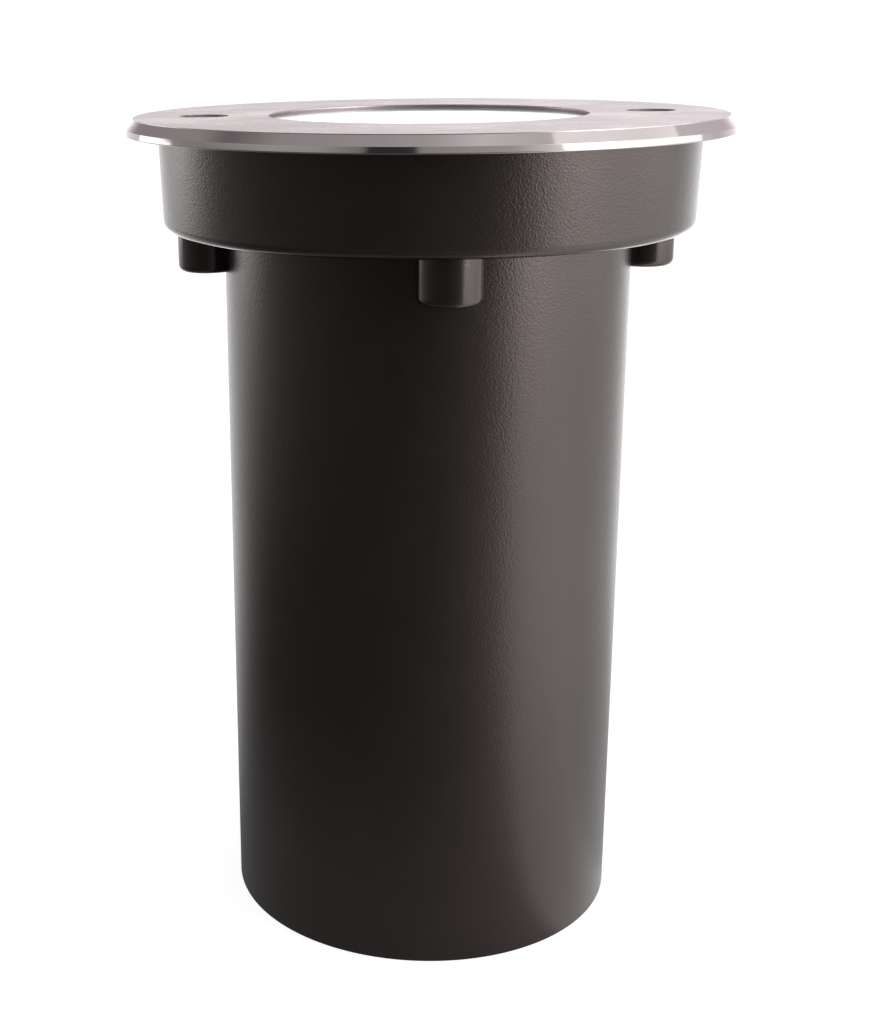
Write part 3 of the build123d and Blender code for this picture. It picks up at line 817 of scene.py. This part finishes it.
def make_glass_lens():
    """Stepped disc with ground edges, closed on the axis."""
    return solid("glass_stepped", spun(outline(
        (0, glass_bottom),
        (flange_r, glass_bottom, 0.5),
        (flange_r, flange_top, 0.5),
        (step_radius, flange_top, 0.4),
        (step_radius, glass_top, 0.45),
        (0, glass_top),
    ), segments=256))


def make_gasket():
    """Rubber channel round the flange, with rounded lips."""
    lower, upper = gasket_r - lower_lip, gasket_r - upper_lip
    return solid("gasket_channel", spun(outline(
        (lower, gasket_bottom, 0.3),
        (gasket_r, gasket_bottom, 0.4),
        (gasket_r, gasket_top, 0.4),
        (upper, gasket_top, 0.25),
        (upper, flange_top, 0.25),
        (flange_r + lip_gap, flange_top, 0.2),
        (flange_r + lip_gap, glass_bottom, 0.2),
        (lower, glass_bottom, 0.25),
    ), closed=True, segments=192))


def make_clamp_ring():
    """Flat ring with broken edges, two sunk holes of its own and two wide ones for the trim screws."""
    ring = solid("clamp_ring_milled", spun(outline(
        (clamp_opening, clamp_bottom, 0.2),
        (clamp_r, clamp_bottom, 0.2),
        (clamp_r, clamp_top, 0.25),
        (clamp_opening, clamp_top, 0.25),
    ), closed=True, segments=192))
    carve(ring, placed(sunk_hole(clamp_top, clamp_bottom - 1), at(0, -pitch_radius), at(0, pitch_radius)))
    wide = spun(cylinder(passage_radius, clamp_bottom - 1, clamp_top + 1))
    return carve(ring, placed(wide, at(-pitch_radius), at(pitch_radius)))


finished(make_glass_lens(), "glass_unit", finishes["lens_glass"], "glass_lens")
finished(make_gasket(), "glass_unit", finishes["gasket_rubber"], "lens_gasket")
finished(make_clamp_ring(), "glass_unit", finishes["clamp_aluminium"], "clamp_ring")

# %% [markdown]
# ## Screws with real threads
# Every screw is one surface from the middle of its socket to the middle of its point. The rows of the
# socket have hexagon flats, the rows of the head are round, and the rows of the shank carry the thread's
# relief, which is a function of turn and height: a V groove that climbs one pitch in each turn.

# %% Screw shapes
socket_depth = 1.6
socket_chamfer = 0.15
thread_depth = 0.54                 # times the pitch
m3_head = 1.8


def socket_rows(across, top):
    """Rows of a hexagon socket, from the middle of its floor up to a small chamfer at its mouth."""
    flat = across / 2
    floor = top - socket_depth
    walls = rows([(across, floor), (across, top - socket_chamfer)], flat=flat)
    return np.vstack([rows([(0, floor)]), walls, rows([(across, top)], flat=flat + socket_chamfer)])


def shank_rows(radius, start, end, pitch):
    """Rows of a threaded shank that ends in a chamfered point on the axis."""
    run_out = radius / 4
    point = rows([(radius - run_out, end), (0, end)])
    return np.vstack([thread(radius, start, end + run_out, pitch, thread_depth * pitch), point])


def countersunk(head_r, radius, length, across, pitch):
    """Flush screw, its head's top at height 0: socket, flat top, cone, thread and point."""
    head = rows([(head_r - 0.15, 0), (head_r, -0.15), (head_r, -0.3), (radius, radius - head_r - 0.3)])
    shank = shank_rows(radius, radius - head_r - 0.4, -length, pitch)
    return spun(socket_rows(across, 0), head, shank, relief=helix(pitch))


def pan_head(head_r, head_height, radius, length, across, pitch):
    """Round-headed screw, the underside of its head at height 0: the head's edge is a quarter circle."""
    round_off = head_height / 2
    angles = np.radians(np.linspace(90, 0, 7))
    edge = np.stack([head_r - round_off + round_off * np.cos(angles),
                     head_height - round_off + round_off * np.sin(angles)], 1)
    head = np.vstack([rows(edge), rows([(head_r, 0.1), (head_r - 0.1, 0), (radius, 0)])])
    shank = shank_rows(radius, -0.1, -length, pitch)
    return spun(socket_rows(across, head_height), head, shank, relief=helix(pitch))


m5_long = countersunk(4.7, 2.5, 24.0, 3.0, 0.8)
m5_short = countersunk(4.7, 2.5, 12.0, 3.0, 0.8)
m4 = pan_head(3.8, 2.6, 2.0, 7.0, 2.5, 0.7)
m4_pivot = pan_head(3.8, 2.6, 2.0, 6.4, 2.5, 0.7)
m3_holder = pan_head(2.75, m3_head, 1.5, 13.5, 2.0, 0.5)
m3_block = pan_head(2.75, m3_head, 1.5, 14.5, 2.0, 0.5)
print("an M5 screw of the ring has", len(m5_long[0]), "points")

# %% Place the screws where the frame has them
sheet = 1.5
earth_washer_thickness = 0.8
holder_pitch = 10.5
pivot_screw_out, pivot_washer_out, pivot_nut_out = 32.0, 29.5, 25.6
trim_screw_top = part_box("trim_screw_left")[1].z / mm
clamp_screw_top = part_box("clamp_screw_front")[1].z / mm
m4_seat = pad_top + sheet
pivot_low, pivot_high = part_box("pivot_screws")
pivot_level = (pivot_low.z + pivot_high.z) / 2 / mm
holder_screw_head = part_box("holder_screws")[1].z / mm - m3_head
block_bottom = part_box("terminal_block")[0].z / mm


def across_x(side, distance):
    """Place of something drawn along Z, laid along X on one side, its start this far out."""
    turned = Matrix.Rotation(side * math.pi / 2, 4, "Y")
    return at(side * distance, 0, pivot_level) @ turned


def both_sides(distance):
    """The same place on the left and on the right."""
    return [across_x(side, distance) for side in (-1, 1)]


left, right = (at(side * pitch_radius, 0, trim_screw_top) for side in (-1, 1))
front, back = (at(0, side * pitch_radius, clamp_screw_top) for side in (-1, 1))
pads = [at(0, side * pad_pitch_radius, m4_seat) for side in (-1, 1)]
holder_places = [at(side * holder_pitch, 0, holder_screw_head) for side in (-1, 1)]
upside_down = Matrix.Rotation(math.pi, 4, "X")
earth_spot = around(earth_angle, pad_pitch_radius, m4_seat)
screw_steel, zinc, brass = finishes["screw_steel"], finishes["zinc_screw"], finishes["earth_brass"]
screws = (
    ("trim_screw_left", "trim_screw_left", screw_steel, m5_long, [left]),
    ("trim_screw_right", "trim_screw_right", screw_steel, m5_long, [right]),
    ("clamp_screw_front", "clamp_screw_front", screw_steel, m5_short, [front]),
    ("clamp_screw_back", "clamp_screw_back", screw_steel, m5_short, [back]),
    ("frame_screws", "housing", zinc, m4, pads),
    ("earth_screw", "housing", brass, m4, [earth_spot @ at(z=earth_washer_thickness)]),
    ("pivot_screws", "carrier", zinc, m4_pivot, both_sides(pivot_screw_out)),
    ("holder_screws", "carrier", zinc, m3_holder, holder_places),
    ("block_screw", "carrier", zinc, m3_block, [at(0, 0, block_bottom) @ upside_down]),
)
for node, body, material, shape, places in screws:
    finished(solid(node + "_threaded", placed(shape, *places)), body, material, node)

# %% [markdown]
# ## Nuts, washers and the cable gland
# A hexagon nut is a hexagon bar whose corners were turned off by a cone. That is exactly what the smaller
# of two radii gives: the bar's side, or the cone's radius at that height. The pivot washers are wave
# washers, thin rings whose height follows a cosine of the turn, and the earth washer has teeth.

# %% Nuts and washers
cone_angle = math.pi / 6
cone_start = 0.985                  # times the flat
nut_chamfer = 0.3
nut_thread = -0.3                   # times the pitch, outwards into the nut
wave_height = 0.22
tooth_depth = 0.55


def turned_end(flat, level, inwards, steps=7):
    """Rows of a bar's end, from its face inwards: a 30 degree cone that turned off the corners."""
    radii = np.linspace(cone_start * flat, flat / math.cos(cone_angle), steps)
    heights = level + inwards * (radii - radii[0]) * math.tan(cone_angle)
    return rows(np.stack([radii, heights], 1), flat=flat)


def bar_rows(across, low, high):
    """Rows of a hexagon bar between two levels, with its corners turned off at both ends."""
    return np.vstack([turned_end(across / 2, low, 1), turned_end(across / 2, high, -1)[::-1]])


def nut(across, low, high, bore, pitch, segments=72):
    """Hexagon nut with a threaded bore and small chamfers where the thread begins."""
    outside = bar_rows(across, low, high)
    mouth = rows([(bore + nut_chamfer, high)])
    inside = thread(bore, high - nut_chamfer, low + nut_chamfer, pitch, nut_thread * pitch)
    end = rows([(bore + nut_chamfer, low)])
    return spun(outside, mouth, inside, end, closed=True, segments=segments, relief=helix(pitch))


def flat_ring(inner, outer, thickness, rounding, **how):
    """Thin ring standing on height 0."""
    return spun(outline(
        (inner, 0, rounding),
        (outer, 0, rounding),
        (outer, thickness, rounding),
        (inner, thickness, rounding),
        steps=2,
    ), closed=True, **how)


def wave(turn):
    """Height of a wave washer: a cosine with three waves in a turn."""
    return wave_height * (1 + np.cos(3 * turn))


def toothed_ring(inner, outer, thickness, teeth):
    """Lock washer whose rim is cut into teeth: the rim's rows have a relief of upright flutes."""
    rim = rows([(outer, 0), (outer, thickness)], depth=tooth_depth)
    return spun(rows([(inner, 0)]), rim, rows([(inner, thickness)]), closed=True, segments=8 * teeth,
                relief=flutes(teeth))


wave_ring = flat_ring(m4_hole_radius, 4.5, 0.5, 0.12, lift=wave)
pivot_nut = nut(7.0, 0.0, 2.4, m4_hole_radius, 0.7)
earth_teeth = toothed_ring(m4_hole_radius, 4.5, earth_washer_thickness, 18)
pieces = (
    ("pivot_washers", "carrier", zinc, wave_ring, both_sides(pivot_washer_out)),
    ("pivot_nuts", "carrier", zinc, pivot_nut, both_sides(pivot_nut_out)),
    ("earth_washer", "housing", zinc, earth_teeth, [earth_spot]),
)
for node, body, material, shape, places in pieces:
    finished(solid(node + "_formed", placed(shape, *places)), body, material, node)

# %% [markdown]
# The cable gland is turned from brass hexagon bar and nickel plated. Its body has a thread through the
# floor, a hexagon against the washer below it, and a neck for the nut, whose end is domed so that rain
# doesn't lie on it and the cable isn't cut.

# %% Cable gland
gland_face, hexagon_bottom, neck_bottom, gland_top = 25.5, 20.0, 12.0, 38.0
gland_across, gland_nut_flat = 24.0, 11.0
gland_pitch = 1.5
cable_bore, seal_bore, seal_top = 6.0, 7.0, 24.0
neck_radius, gland_thread_radius = 8.8, 10.0
washer_thickness = floor_bottom - gland_face
dome = 2.6
nut_low, nut_high = (corner.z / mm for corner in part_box("gland_nut"))
seal_low, seal_high = (corner.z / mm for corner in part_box("gland_seal"))


def make_gland_body():
    """Closed section: bore, neck with a fine thread, hexagon, and the long thread through the floor."""
    bore = rows([
        (cable_bore + 0.3, gland_top),
        (cable_bore, gland_top - 0.3),
        (cable_bore, seal_top),
        (seal_bore, seal_top),
        (seal_bore, neck_bottom + 0.3),
        (seal_bore + 0.3, neck_bottom),
        (neck_radius - 0.4, neck_bottom),
    ])
    neck = thread(neck_radius, neck_bottom + 0.4, hexagon_bottom - 0.1, gland_pitch, 0.7)
    bar = bar_rows(gland_across, hexagon_bottom, gland_face)
    long_thread = thread(gland_thread_radius, gland_face + 0.1, gland_top - 0.5, gland_pitch, 0.8)
    end = rows([(gland_thread_radius - 0.5, gland_top)])
    return spun(bore, neck, bar, long_thread, end, closed=True, segments=96, relief=helix(gland_pitch))


def make_gland_nut():
    """Hexagon with a domed end, the bore for the neck, and a small rounded mouth for the cable."""
    corner = gland_nut_flat / math.cos(cone_angle)
    angles = np.radians(np.linspace(-80, 0, 9))
    radii = corner - dome + dome * np.cos(angles)
    end = rows(np.stack([radii, nut_low + dome + dome * np.sin(angles)], 1), flat=gland_nut_flat)
    top = turned_end(gland_nut_flat, nut_high, -1)[::-1]
    inside = rows([
        (neck_radius + 0.4, nut_high),
        (neck_radius + 0.1, nut_high - 0.4),
        (neck_radius + 0.1, nut_low + 3.0),
        (cable_bore + 0.5, nut_low + 3.0),
        (cable_bore + 0.3, nut_low + 2.7),
        (cable_bore + 0.3, nut_low + 0.5),
        (cable_bore + 0.7, nut_low),
    ])
    return spun(end, top, inside, closed=True, segments=96)


def make_gland_seal():
    """Rubber sleeve with a conical lower end and a rounded way in for the cable."""
    return spun(outline(
        (4.0, seal_low, 0.5),
        (5.8, seal_low, 0.3),
        (6.9, seal_low + 2.0, 0.3),
        (6.9, seal_high, 0.3),
        (4.0, seal_high, 0.5),
    ), closed=True, segments=72)


nickel = finishes["gland_nickel"]
locknut = nut(gland_across, floor_top, floor_top + 5.0, gland_hole_radius, gland_pitch, segments=96)
gland_ring = flat_ring(gland_hole_radius, 13.5, washer_thickness, 0.35)
gland = (
    ("gland_body", "housing", nickel, make_gland_body()),
    ("gland_nut", "gland_nut", nickel, make_gland_nut()),
    ("gland_locknut", "housing", nickel, locknut),
    ("gland_washer", "housing", finishes["gasket_rubber"], placed(gland_ring, at(z=gland_face))),
    ("gland_seal", "housing", finishes["seal_rubber"], make_gland_seal()),
)
for node, body, material, shape in gland:
    finished(solid(node + "_turned", shape), body, material, node)

# %% [markdown]
# ## The lamp
# A 50 mm reflector lamp: a front lens with fine rings, a bowl with shallow cooling flutes, a narrow base
# and two stepped pins that lock in the holder. The bowl's outline is a cubic curve between the rim and the
# neck, and its flutes are again a relief that fades out at both ends.

# %% Lamp
face_level, lens_seat, bowl_top, neck_level, base_level = 148.0, 146.0, 145.0, 108.0, 94.0
lens_radius, rim_radius, bowl_end, base_radius = 22.5, 25.0, 13.5, 12.5
pin_low, pin_step, pin_high, pin_spacing = 86.8, 89.0, 101.2, 10.0
lens_ring_pitch = 1.8
rim_slope, neck_slope = 0.25, 0.7
flute_count, flute_depth = 36, 0.7


def bowl_rows(steps=28):
    """Cubic curve from the rim to the neck with the slopes given at its ends, with fluted rows."""
    first, last = np.array([rim_radius, bowl_top]), np.array([bowl_end, neck_level])
    chord = np.linalg.norm(last - first)
    leave = np.array([-rim_slope, -1.0]) / math.hypot(rim_slope, 1) * chord
    arrive = np.array([-neck_slope, -1.0]) / math.hypot(neck_slope, 1) * chord
    t = np.linspace(0, 1, steps)[:, None]
    curve = ((2 * t**3 - 3 * t**2 + 1) * first + (t**3 - 2 * t**2 + t) * leave
             + (3 * t**2 - 2 * t**3) * last + (t**3 - t**2) * arrive)
    return rows(curve, depth=flute_depth * np.clip(np.minimum(t[:, 0], 1 - t[:, 0]) * 6, 0, 1))


def make_lamp_body():
    """Lens seat, rim, fluted bowl, collar and base in one closed surface."""
    seat = rows([(0, lens_seat), (lens_radius, lens_seat), (lens_radius, face_level)])
    rim = rows([
        (rim_radius - 0.5, face_level),
        (rim_radius - 0.15, face_level - 0.15),
        (rim_radius, face_level - 0.5),
    ])
    base = rows([
        (base_radius + 0.4, neck_level - 0.2),
        (base_radius, neck_level - 0.6),
        (base_radius, base_level + 0.6),
        (base_radius - 0.6, base_level),
        (0, base_level),
    ])
    return spun(seat, rim, bowl_rows(), base, segments=288, relief=flutes(flute_count))


def make_lamp_lens():
    """Front lens: a disc whose face has fine rings, a cosine of the radius, round a smooth middle."""
    edge = lens_radius - 0.05
    radii = np.linspace(0, 21.8, 90)
    rings = 0.14 * (1 - np.cos(radii * 2 * math.pi / lens_ring_pitch)) * np.clip(radii / 4, 0, 1)
    face = rows(np.stack([radii, face_level - 0.05 - rings], 1))
    return spun(face, rows([(edge, face_level - 0.3), (edge, lens_seat), (0, lens_seat)]), segments=144)


def make_pin():
    """Stepped contact pin with a rounded head."""
    return spun(outline(
        (0, pin_low),
        (2.5, pin_low, 0.5),
        (2.5, pin_step, 0.2),
        (1.6, pin_step),
        (1.6, pin_high),
        (0, pin_high),
    ), segments=48)


lamp = (
    ("lamp_body", finishes["lamp_shell"], make_lamp_body()),
    ("lamp_lens", finishes["lamp_front"], make_lamp_lens()),
    ("lamp_pins", finishes["pin_nickel"], placed(make_pin(), at(-pin_spacing / 2), at(pin_spacing / 2))),
)
for node, material, shape in lamp:
    finished(solid(node + "_shaped", shape), "lamp", material, node)

# %% [markdown]
# ## Pieces that keep their construction mesh
# The bent sheet, the ceramic holder, the terminal block and the other small pieces are already right in
# shape. Their own meshes stay, and only get the finish of their slot.

# %% Finish the construction nodes that still show
slot_of = {part["node"]: part["material_slot"] for part in frame["record"]["subparts"]}
for node, piece in frame["nodes"].items():
    if not piece.hide_render:
        piece.data.materials.clear()
        piece.data.materials.append(finishes[slot_of[node]])
        print(f"{node}: {slot_of[node]}")

# %% [markdown]
# ## Floor, background and light
# The photograph has no horizon: the light stands in a white surround that is dark on the camera's side.
# That dark side gives the coat its depth, and the polished steel its dark patch. So the surround is
# written down once, as levels for each compass direction: at the horizon, on the floor near the light, on
# the wall and overhead. Both the floor and the world show it to reflections. Only the camera, and what it
# sees through glass, gets plain white.

# %% What reflections see in each direction
def level_ramp(tree, place, stops):
    """Colour ramp from (azimuth in degrees, level) stops; place runs from 0 to 1 over -180 to 180."""
    node = tree.nodes.new("ShaderNodeValToRGB")
    elements = node.color_ramp.elements
    for i, (azimuth, level) in enumerate(stops):
        position = azimuth / 360 + 0.5
        element = elements[i] if i < 2 else elements.new(position)
        element.position = position
        element.color = (level, level, level, 1.0)
    tree.links.new(place, node.inputs[0])
    return node.outputs["Color"]


surround_stops = {
    "Horizon": (
        (-180, 1.0), (-165, 0.85), (-155, 0.72), (-142, 0.55), (-125, 0.36), (-108, 0.20), (-90, 0.12),
        (-70, 0.06), (-50, 0.03), (-22, 0.01), (-2, 0.01), (25, 0.05), (40, 0.14), (50, 0.80), (82, 0.78),
        (95, 0.55), (130, 0.42), (146, 0.70), (158, 1.0), (180, 1.0),
    ),
    "Floor": (
        (-180, 1.0), (-165, 0.90), (-155, 0.72), (-142, 0.52), (-130, 0.36), (-118, 0.17), (-105, 0.07),
        (-90, 0.03), (-60, 0.02), (-25, 0.02), (0, 0.04), (15, 0.08), (30, 0.16), (42, 0.28), (50, 0.80),
        (82, 0.78), (95, 0.55), (130, 0.44), (146, 0.74), (158, 0.80), (172, 0.66), (180, 1.0),
    ),
    "Wall": (
        (-180, 0.36), (-158, 0.20), (-95, 0.18), (-60, 0.24), (-40, 0.22), (-23, 0.12), (-21, 0.02),
        (-4, 0.02), (-3, 0.18), (30, 0.24), (48, 0.50), (80, 0.50), (130, 0.42), (160, 0.42), (180, 0.36),
    ),
    "Ceiling": (
        (-180, 0.38), (-150, 0.14), (-120, 0.20), (-108, 0.09), (-90, 0.20), (0, 0.26), (45, 0.40),
        (85, 0.34), (150, 0.22), (180, 0.38),
    ),
}


def make_surround():
    """Brightness by azimuth: at the horizon, on the floor near the light, on the wall and overhead."""
    group, start, end = new_group("surround", [], list(surround_stops))
    axes = axes_of(group, start.outputs["Vector"])
    towards_camera = math_node(group, "MULTIPLY", axes["Y"], -1.0)
    angle = math_node(group, "ARCTAN2", axes["X"], towards_camera)
    place = math_node(group, "MULTIPLY_ADD", angle, 0.5 / math.pi, 0.5 + view_turn / (2 * math.pi))
    place = math_node(group, "FRACT", place)
    for label, stops in surround_stops.items():
        group.links.new(level_ramp(group, place, stops), end.inputs[label])
    return group


surround = make_surround()
white_level = 2.0


def surround_levels(tree, vector):
    """The surround's outputs for a direction."""
    node = tree.nodes.new("ShaderNodeGroup")
    node.node_tree = surround
    tree.links.new(vector, node.inputs["Vector"])
    return [math_node(tree, "MULTIPLY", output, white_level) for output in node.outputs]


def mix_levels(tree, factor, first, second):
    """Number between two numbers."""
    node = tree.nodes.new("ShaderNodeMix")
    for label, value in zip(("Factor", "A", "B"), (factor, first, second)):
        tree.links.new(value, node.inputs[label])
    return node.outputs["Result"]


def seen_directly(tree, path):
    """1 for what the camera sees, also through glass, from the outputs of a Light Path node."""
    return math_node(tree, "MAXIMUM", path["Is Camera Ray"], path["Is Transmission Ray"])


print("surround:", ", ".join(f"{label} {len(stops)} stops" for label, stops in surround_stops.items()))

# %% Floor
floor_size = 6.0
floor_level = -0.02 * mm
floor_tone, gloss_darkening = 0.40, -0.36
floor_lift = 0.86
# radii in metres between which each of these changes, and the values that it changes between
floor_to_horizon = (0.25, 0.60, 0.0, 1.0)
own_shadow = (0.04, 0.28, 0.47, 1.0)
painted_bounce_light = (0.06, 0.18, 0.14, 0.0)


def make_floor():
    """Large pale floor, lifted to white for the camera.

    Reflections see the surround on it: its floor levels near the light and its horizon further off,
    weaker under a painted shadow of the light near its foot, with a little painted bounce light added
    there. It is see-through from below, so that a view from underneath shows the foot and the gland.
    """
    mesh = bpy.data.meshes.new("floor")
    square = ((-1, -1), (1, -1), (1, 1), (-1, 1))
    mesh.from_pydata([(x * floor_size, y * floor_size, floor_level) for x, y in square], [], [(0, 1, 2, 3)])
    floor = bpy.data.objects.new("floor", mesh)
    bpy.context.scene.collection.objects.link(floor)
    material, tree, shader, place = new_material("floor")
    path = tree.nodes.new("ShaderNodeLightPath").outputs
    pale = math_node(tree, "MULTIPLY_ADD", path["Is Glossy Ray"], gloss_darkening, floor_tone)
    tree.links.new(pale, shader.inputs["Base Color"])
    shader.inputs["Roughness"].default_value = 0.9
    shader.inputs["Emission Color"].default_value = (1.0, 1.0, 1.0, 1.0)
    seen = seen_directly(tree, path)
    horizon, near, _, _ = surround_levels(tree, place)
    radius, _ = radius_of(tree, place)
    level = mix_levels(tree, remap(tree, radius, *floor_to_horizon), near, horizon)
    # painted shadow of the light and painted bounce light near its foot, seen only in reflections
    shadowed = math_node(tree, "MULTIPLY", level, remap(tree, radius, *own_shadow))
    lightened = math_node(tree, "ADD", shadowed, remap(tree, radius, *painted_bounce_light))
    mirrored = math_node(tree, "MULTIPLY", lightened, path["Is Glossy Ray"])
    strength = math_node(tree, "MULTIPLY_ADD", seen, floor_lift, mirrored)
    tree.links.new(strength, shader.inputs["Emission Strength"])
    backfacing = tree.nodes.new("ShaderNodeNewGeometry").outputs["Backfacing"]
    tree.links.new(math_node(tree, "SUBTRACT", 1.0, backfacing), shader.inputs["Alpha"])
    mesh.materials.append(material)


make_floor()
print("floor:", 2 * floor_size, "m across")

# %% World
wall_from, wall_to = 0.04, 0.26
ceiling_from, ceiling_to = 0.50, 0.70


def make_world():
    """White for the camera; for light and reflections the surround.

    Horizon, wall and ceiling are blended by the height of the direction, from 0 level to 1 overhead.
    """
    world = bpy.data.worlds.new("studio")
    bpy.context.scene.world = world
    world.use_nodes = True
    tree = world.node_tree
    direction = tree.nodes.new("ShaderNodeTexCoord").outputs["Generated"]
    horizon, _, wall, ceiling = surround_levels(tree, direction)
    height = axes_of(tree, direction)["Z"]
    level = mix_levels(tree, remap(tree, height, wall_from, wall_to), horizon, wall)
    level = mix_levels(tree, remap(tree, height, ceiling_from, ceiling_to), level, ceiling)
    path = tree.nodes.new("ShaderNodeLightPath").outputs
    seen = seen_directly(tree, path)
    kept = math_node(tree, "MULTIPLY", level, math_node(tree, "SUBTRACT", 1.0, seen))
    background = tree.nodes["Background"]
    tree.links.new(math_node(tree, "ADD", kept, seen), background.inputs["Strength"])
    background.inputs["Color"].default_value = (1.0, 1.0, 1.0, 1.0)


make_world()
print("world:", len(bpy.context.scene.world.node_tree.nodes), "nodes")

# %% Softboxes
aim_height = 0.11


def softbox(name, azimuth, distance, height, width, tall, radiance):
    """Rectangular lamp that faces the well light; its power is radiance times pi times its area.

    The azimuth is in degrees to the right of the camera, and the other sizes are in metres.
    """
    data = bpy.data.lights.new(name, "AREA")
    data.shape = "RECTANGLE"
    data.size = width
    data.size_y = tall
    data.energy = radiance * math.pi * width * tall
    lamp_object = bpy.data.objects.new(name, data)
    bpy.context.scene.collection.objects.link(lamp_object)
    place = sideways(math.radians(azimuth), distance, height)
    aim = Vector((0, 0, aim_height)) - place
    lamp_object.matrix_world = Matrix.Translation(place) @ aim.to_track_quat("-Z", "Y").to_matrix().to_4x4()
    lamp_object.visible_camera = False
    print(f"{name}: {data.energy:.2f} W")


softbox("softbox right", 61, 0.90, 0.42, 0.42, 0.84, 2.2)
softbox("softbox far right", 94, 1.00, 0.38, 0.70, 0.76, 1.0)
softbox("softbox left", -118, 1.10, 0.16, 0.50, 0.30, 1.6)
softbox("softbox above", 105, 0.90, 1.20, 0.90, 0.70, 0.6)
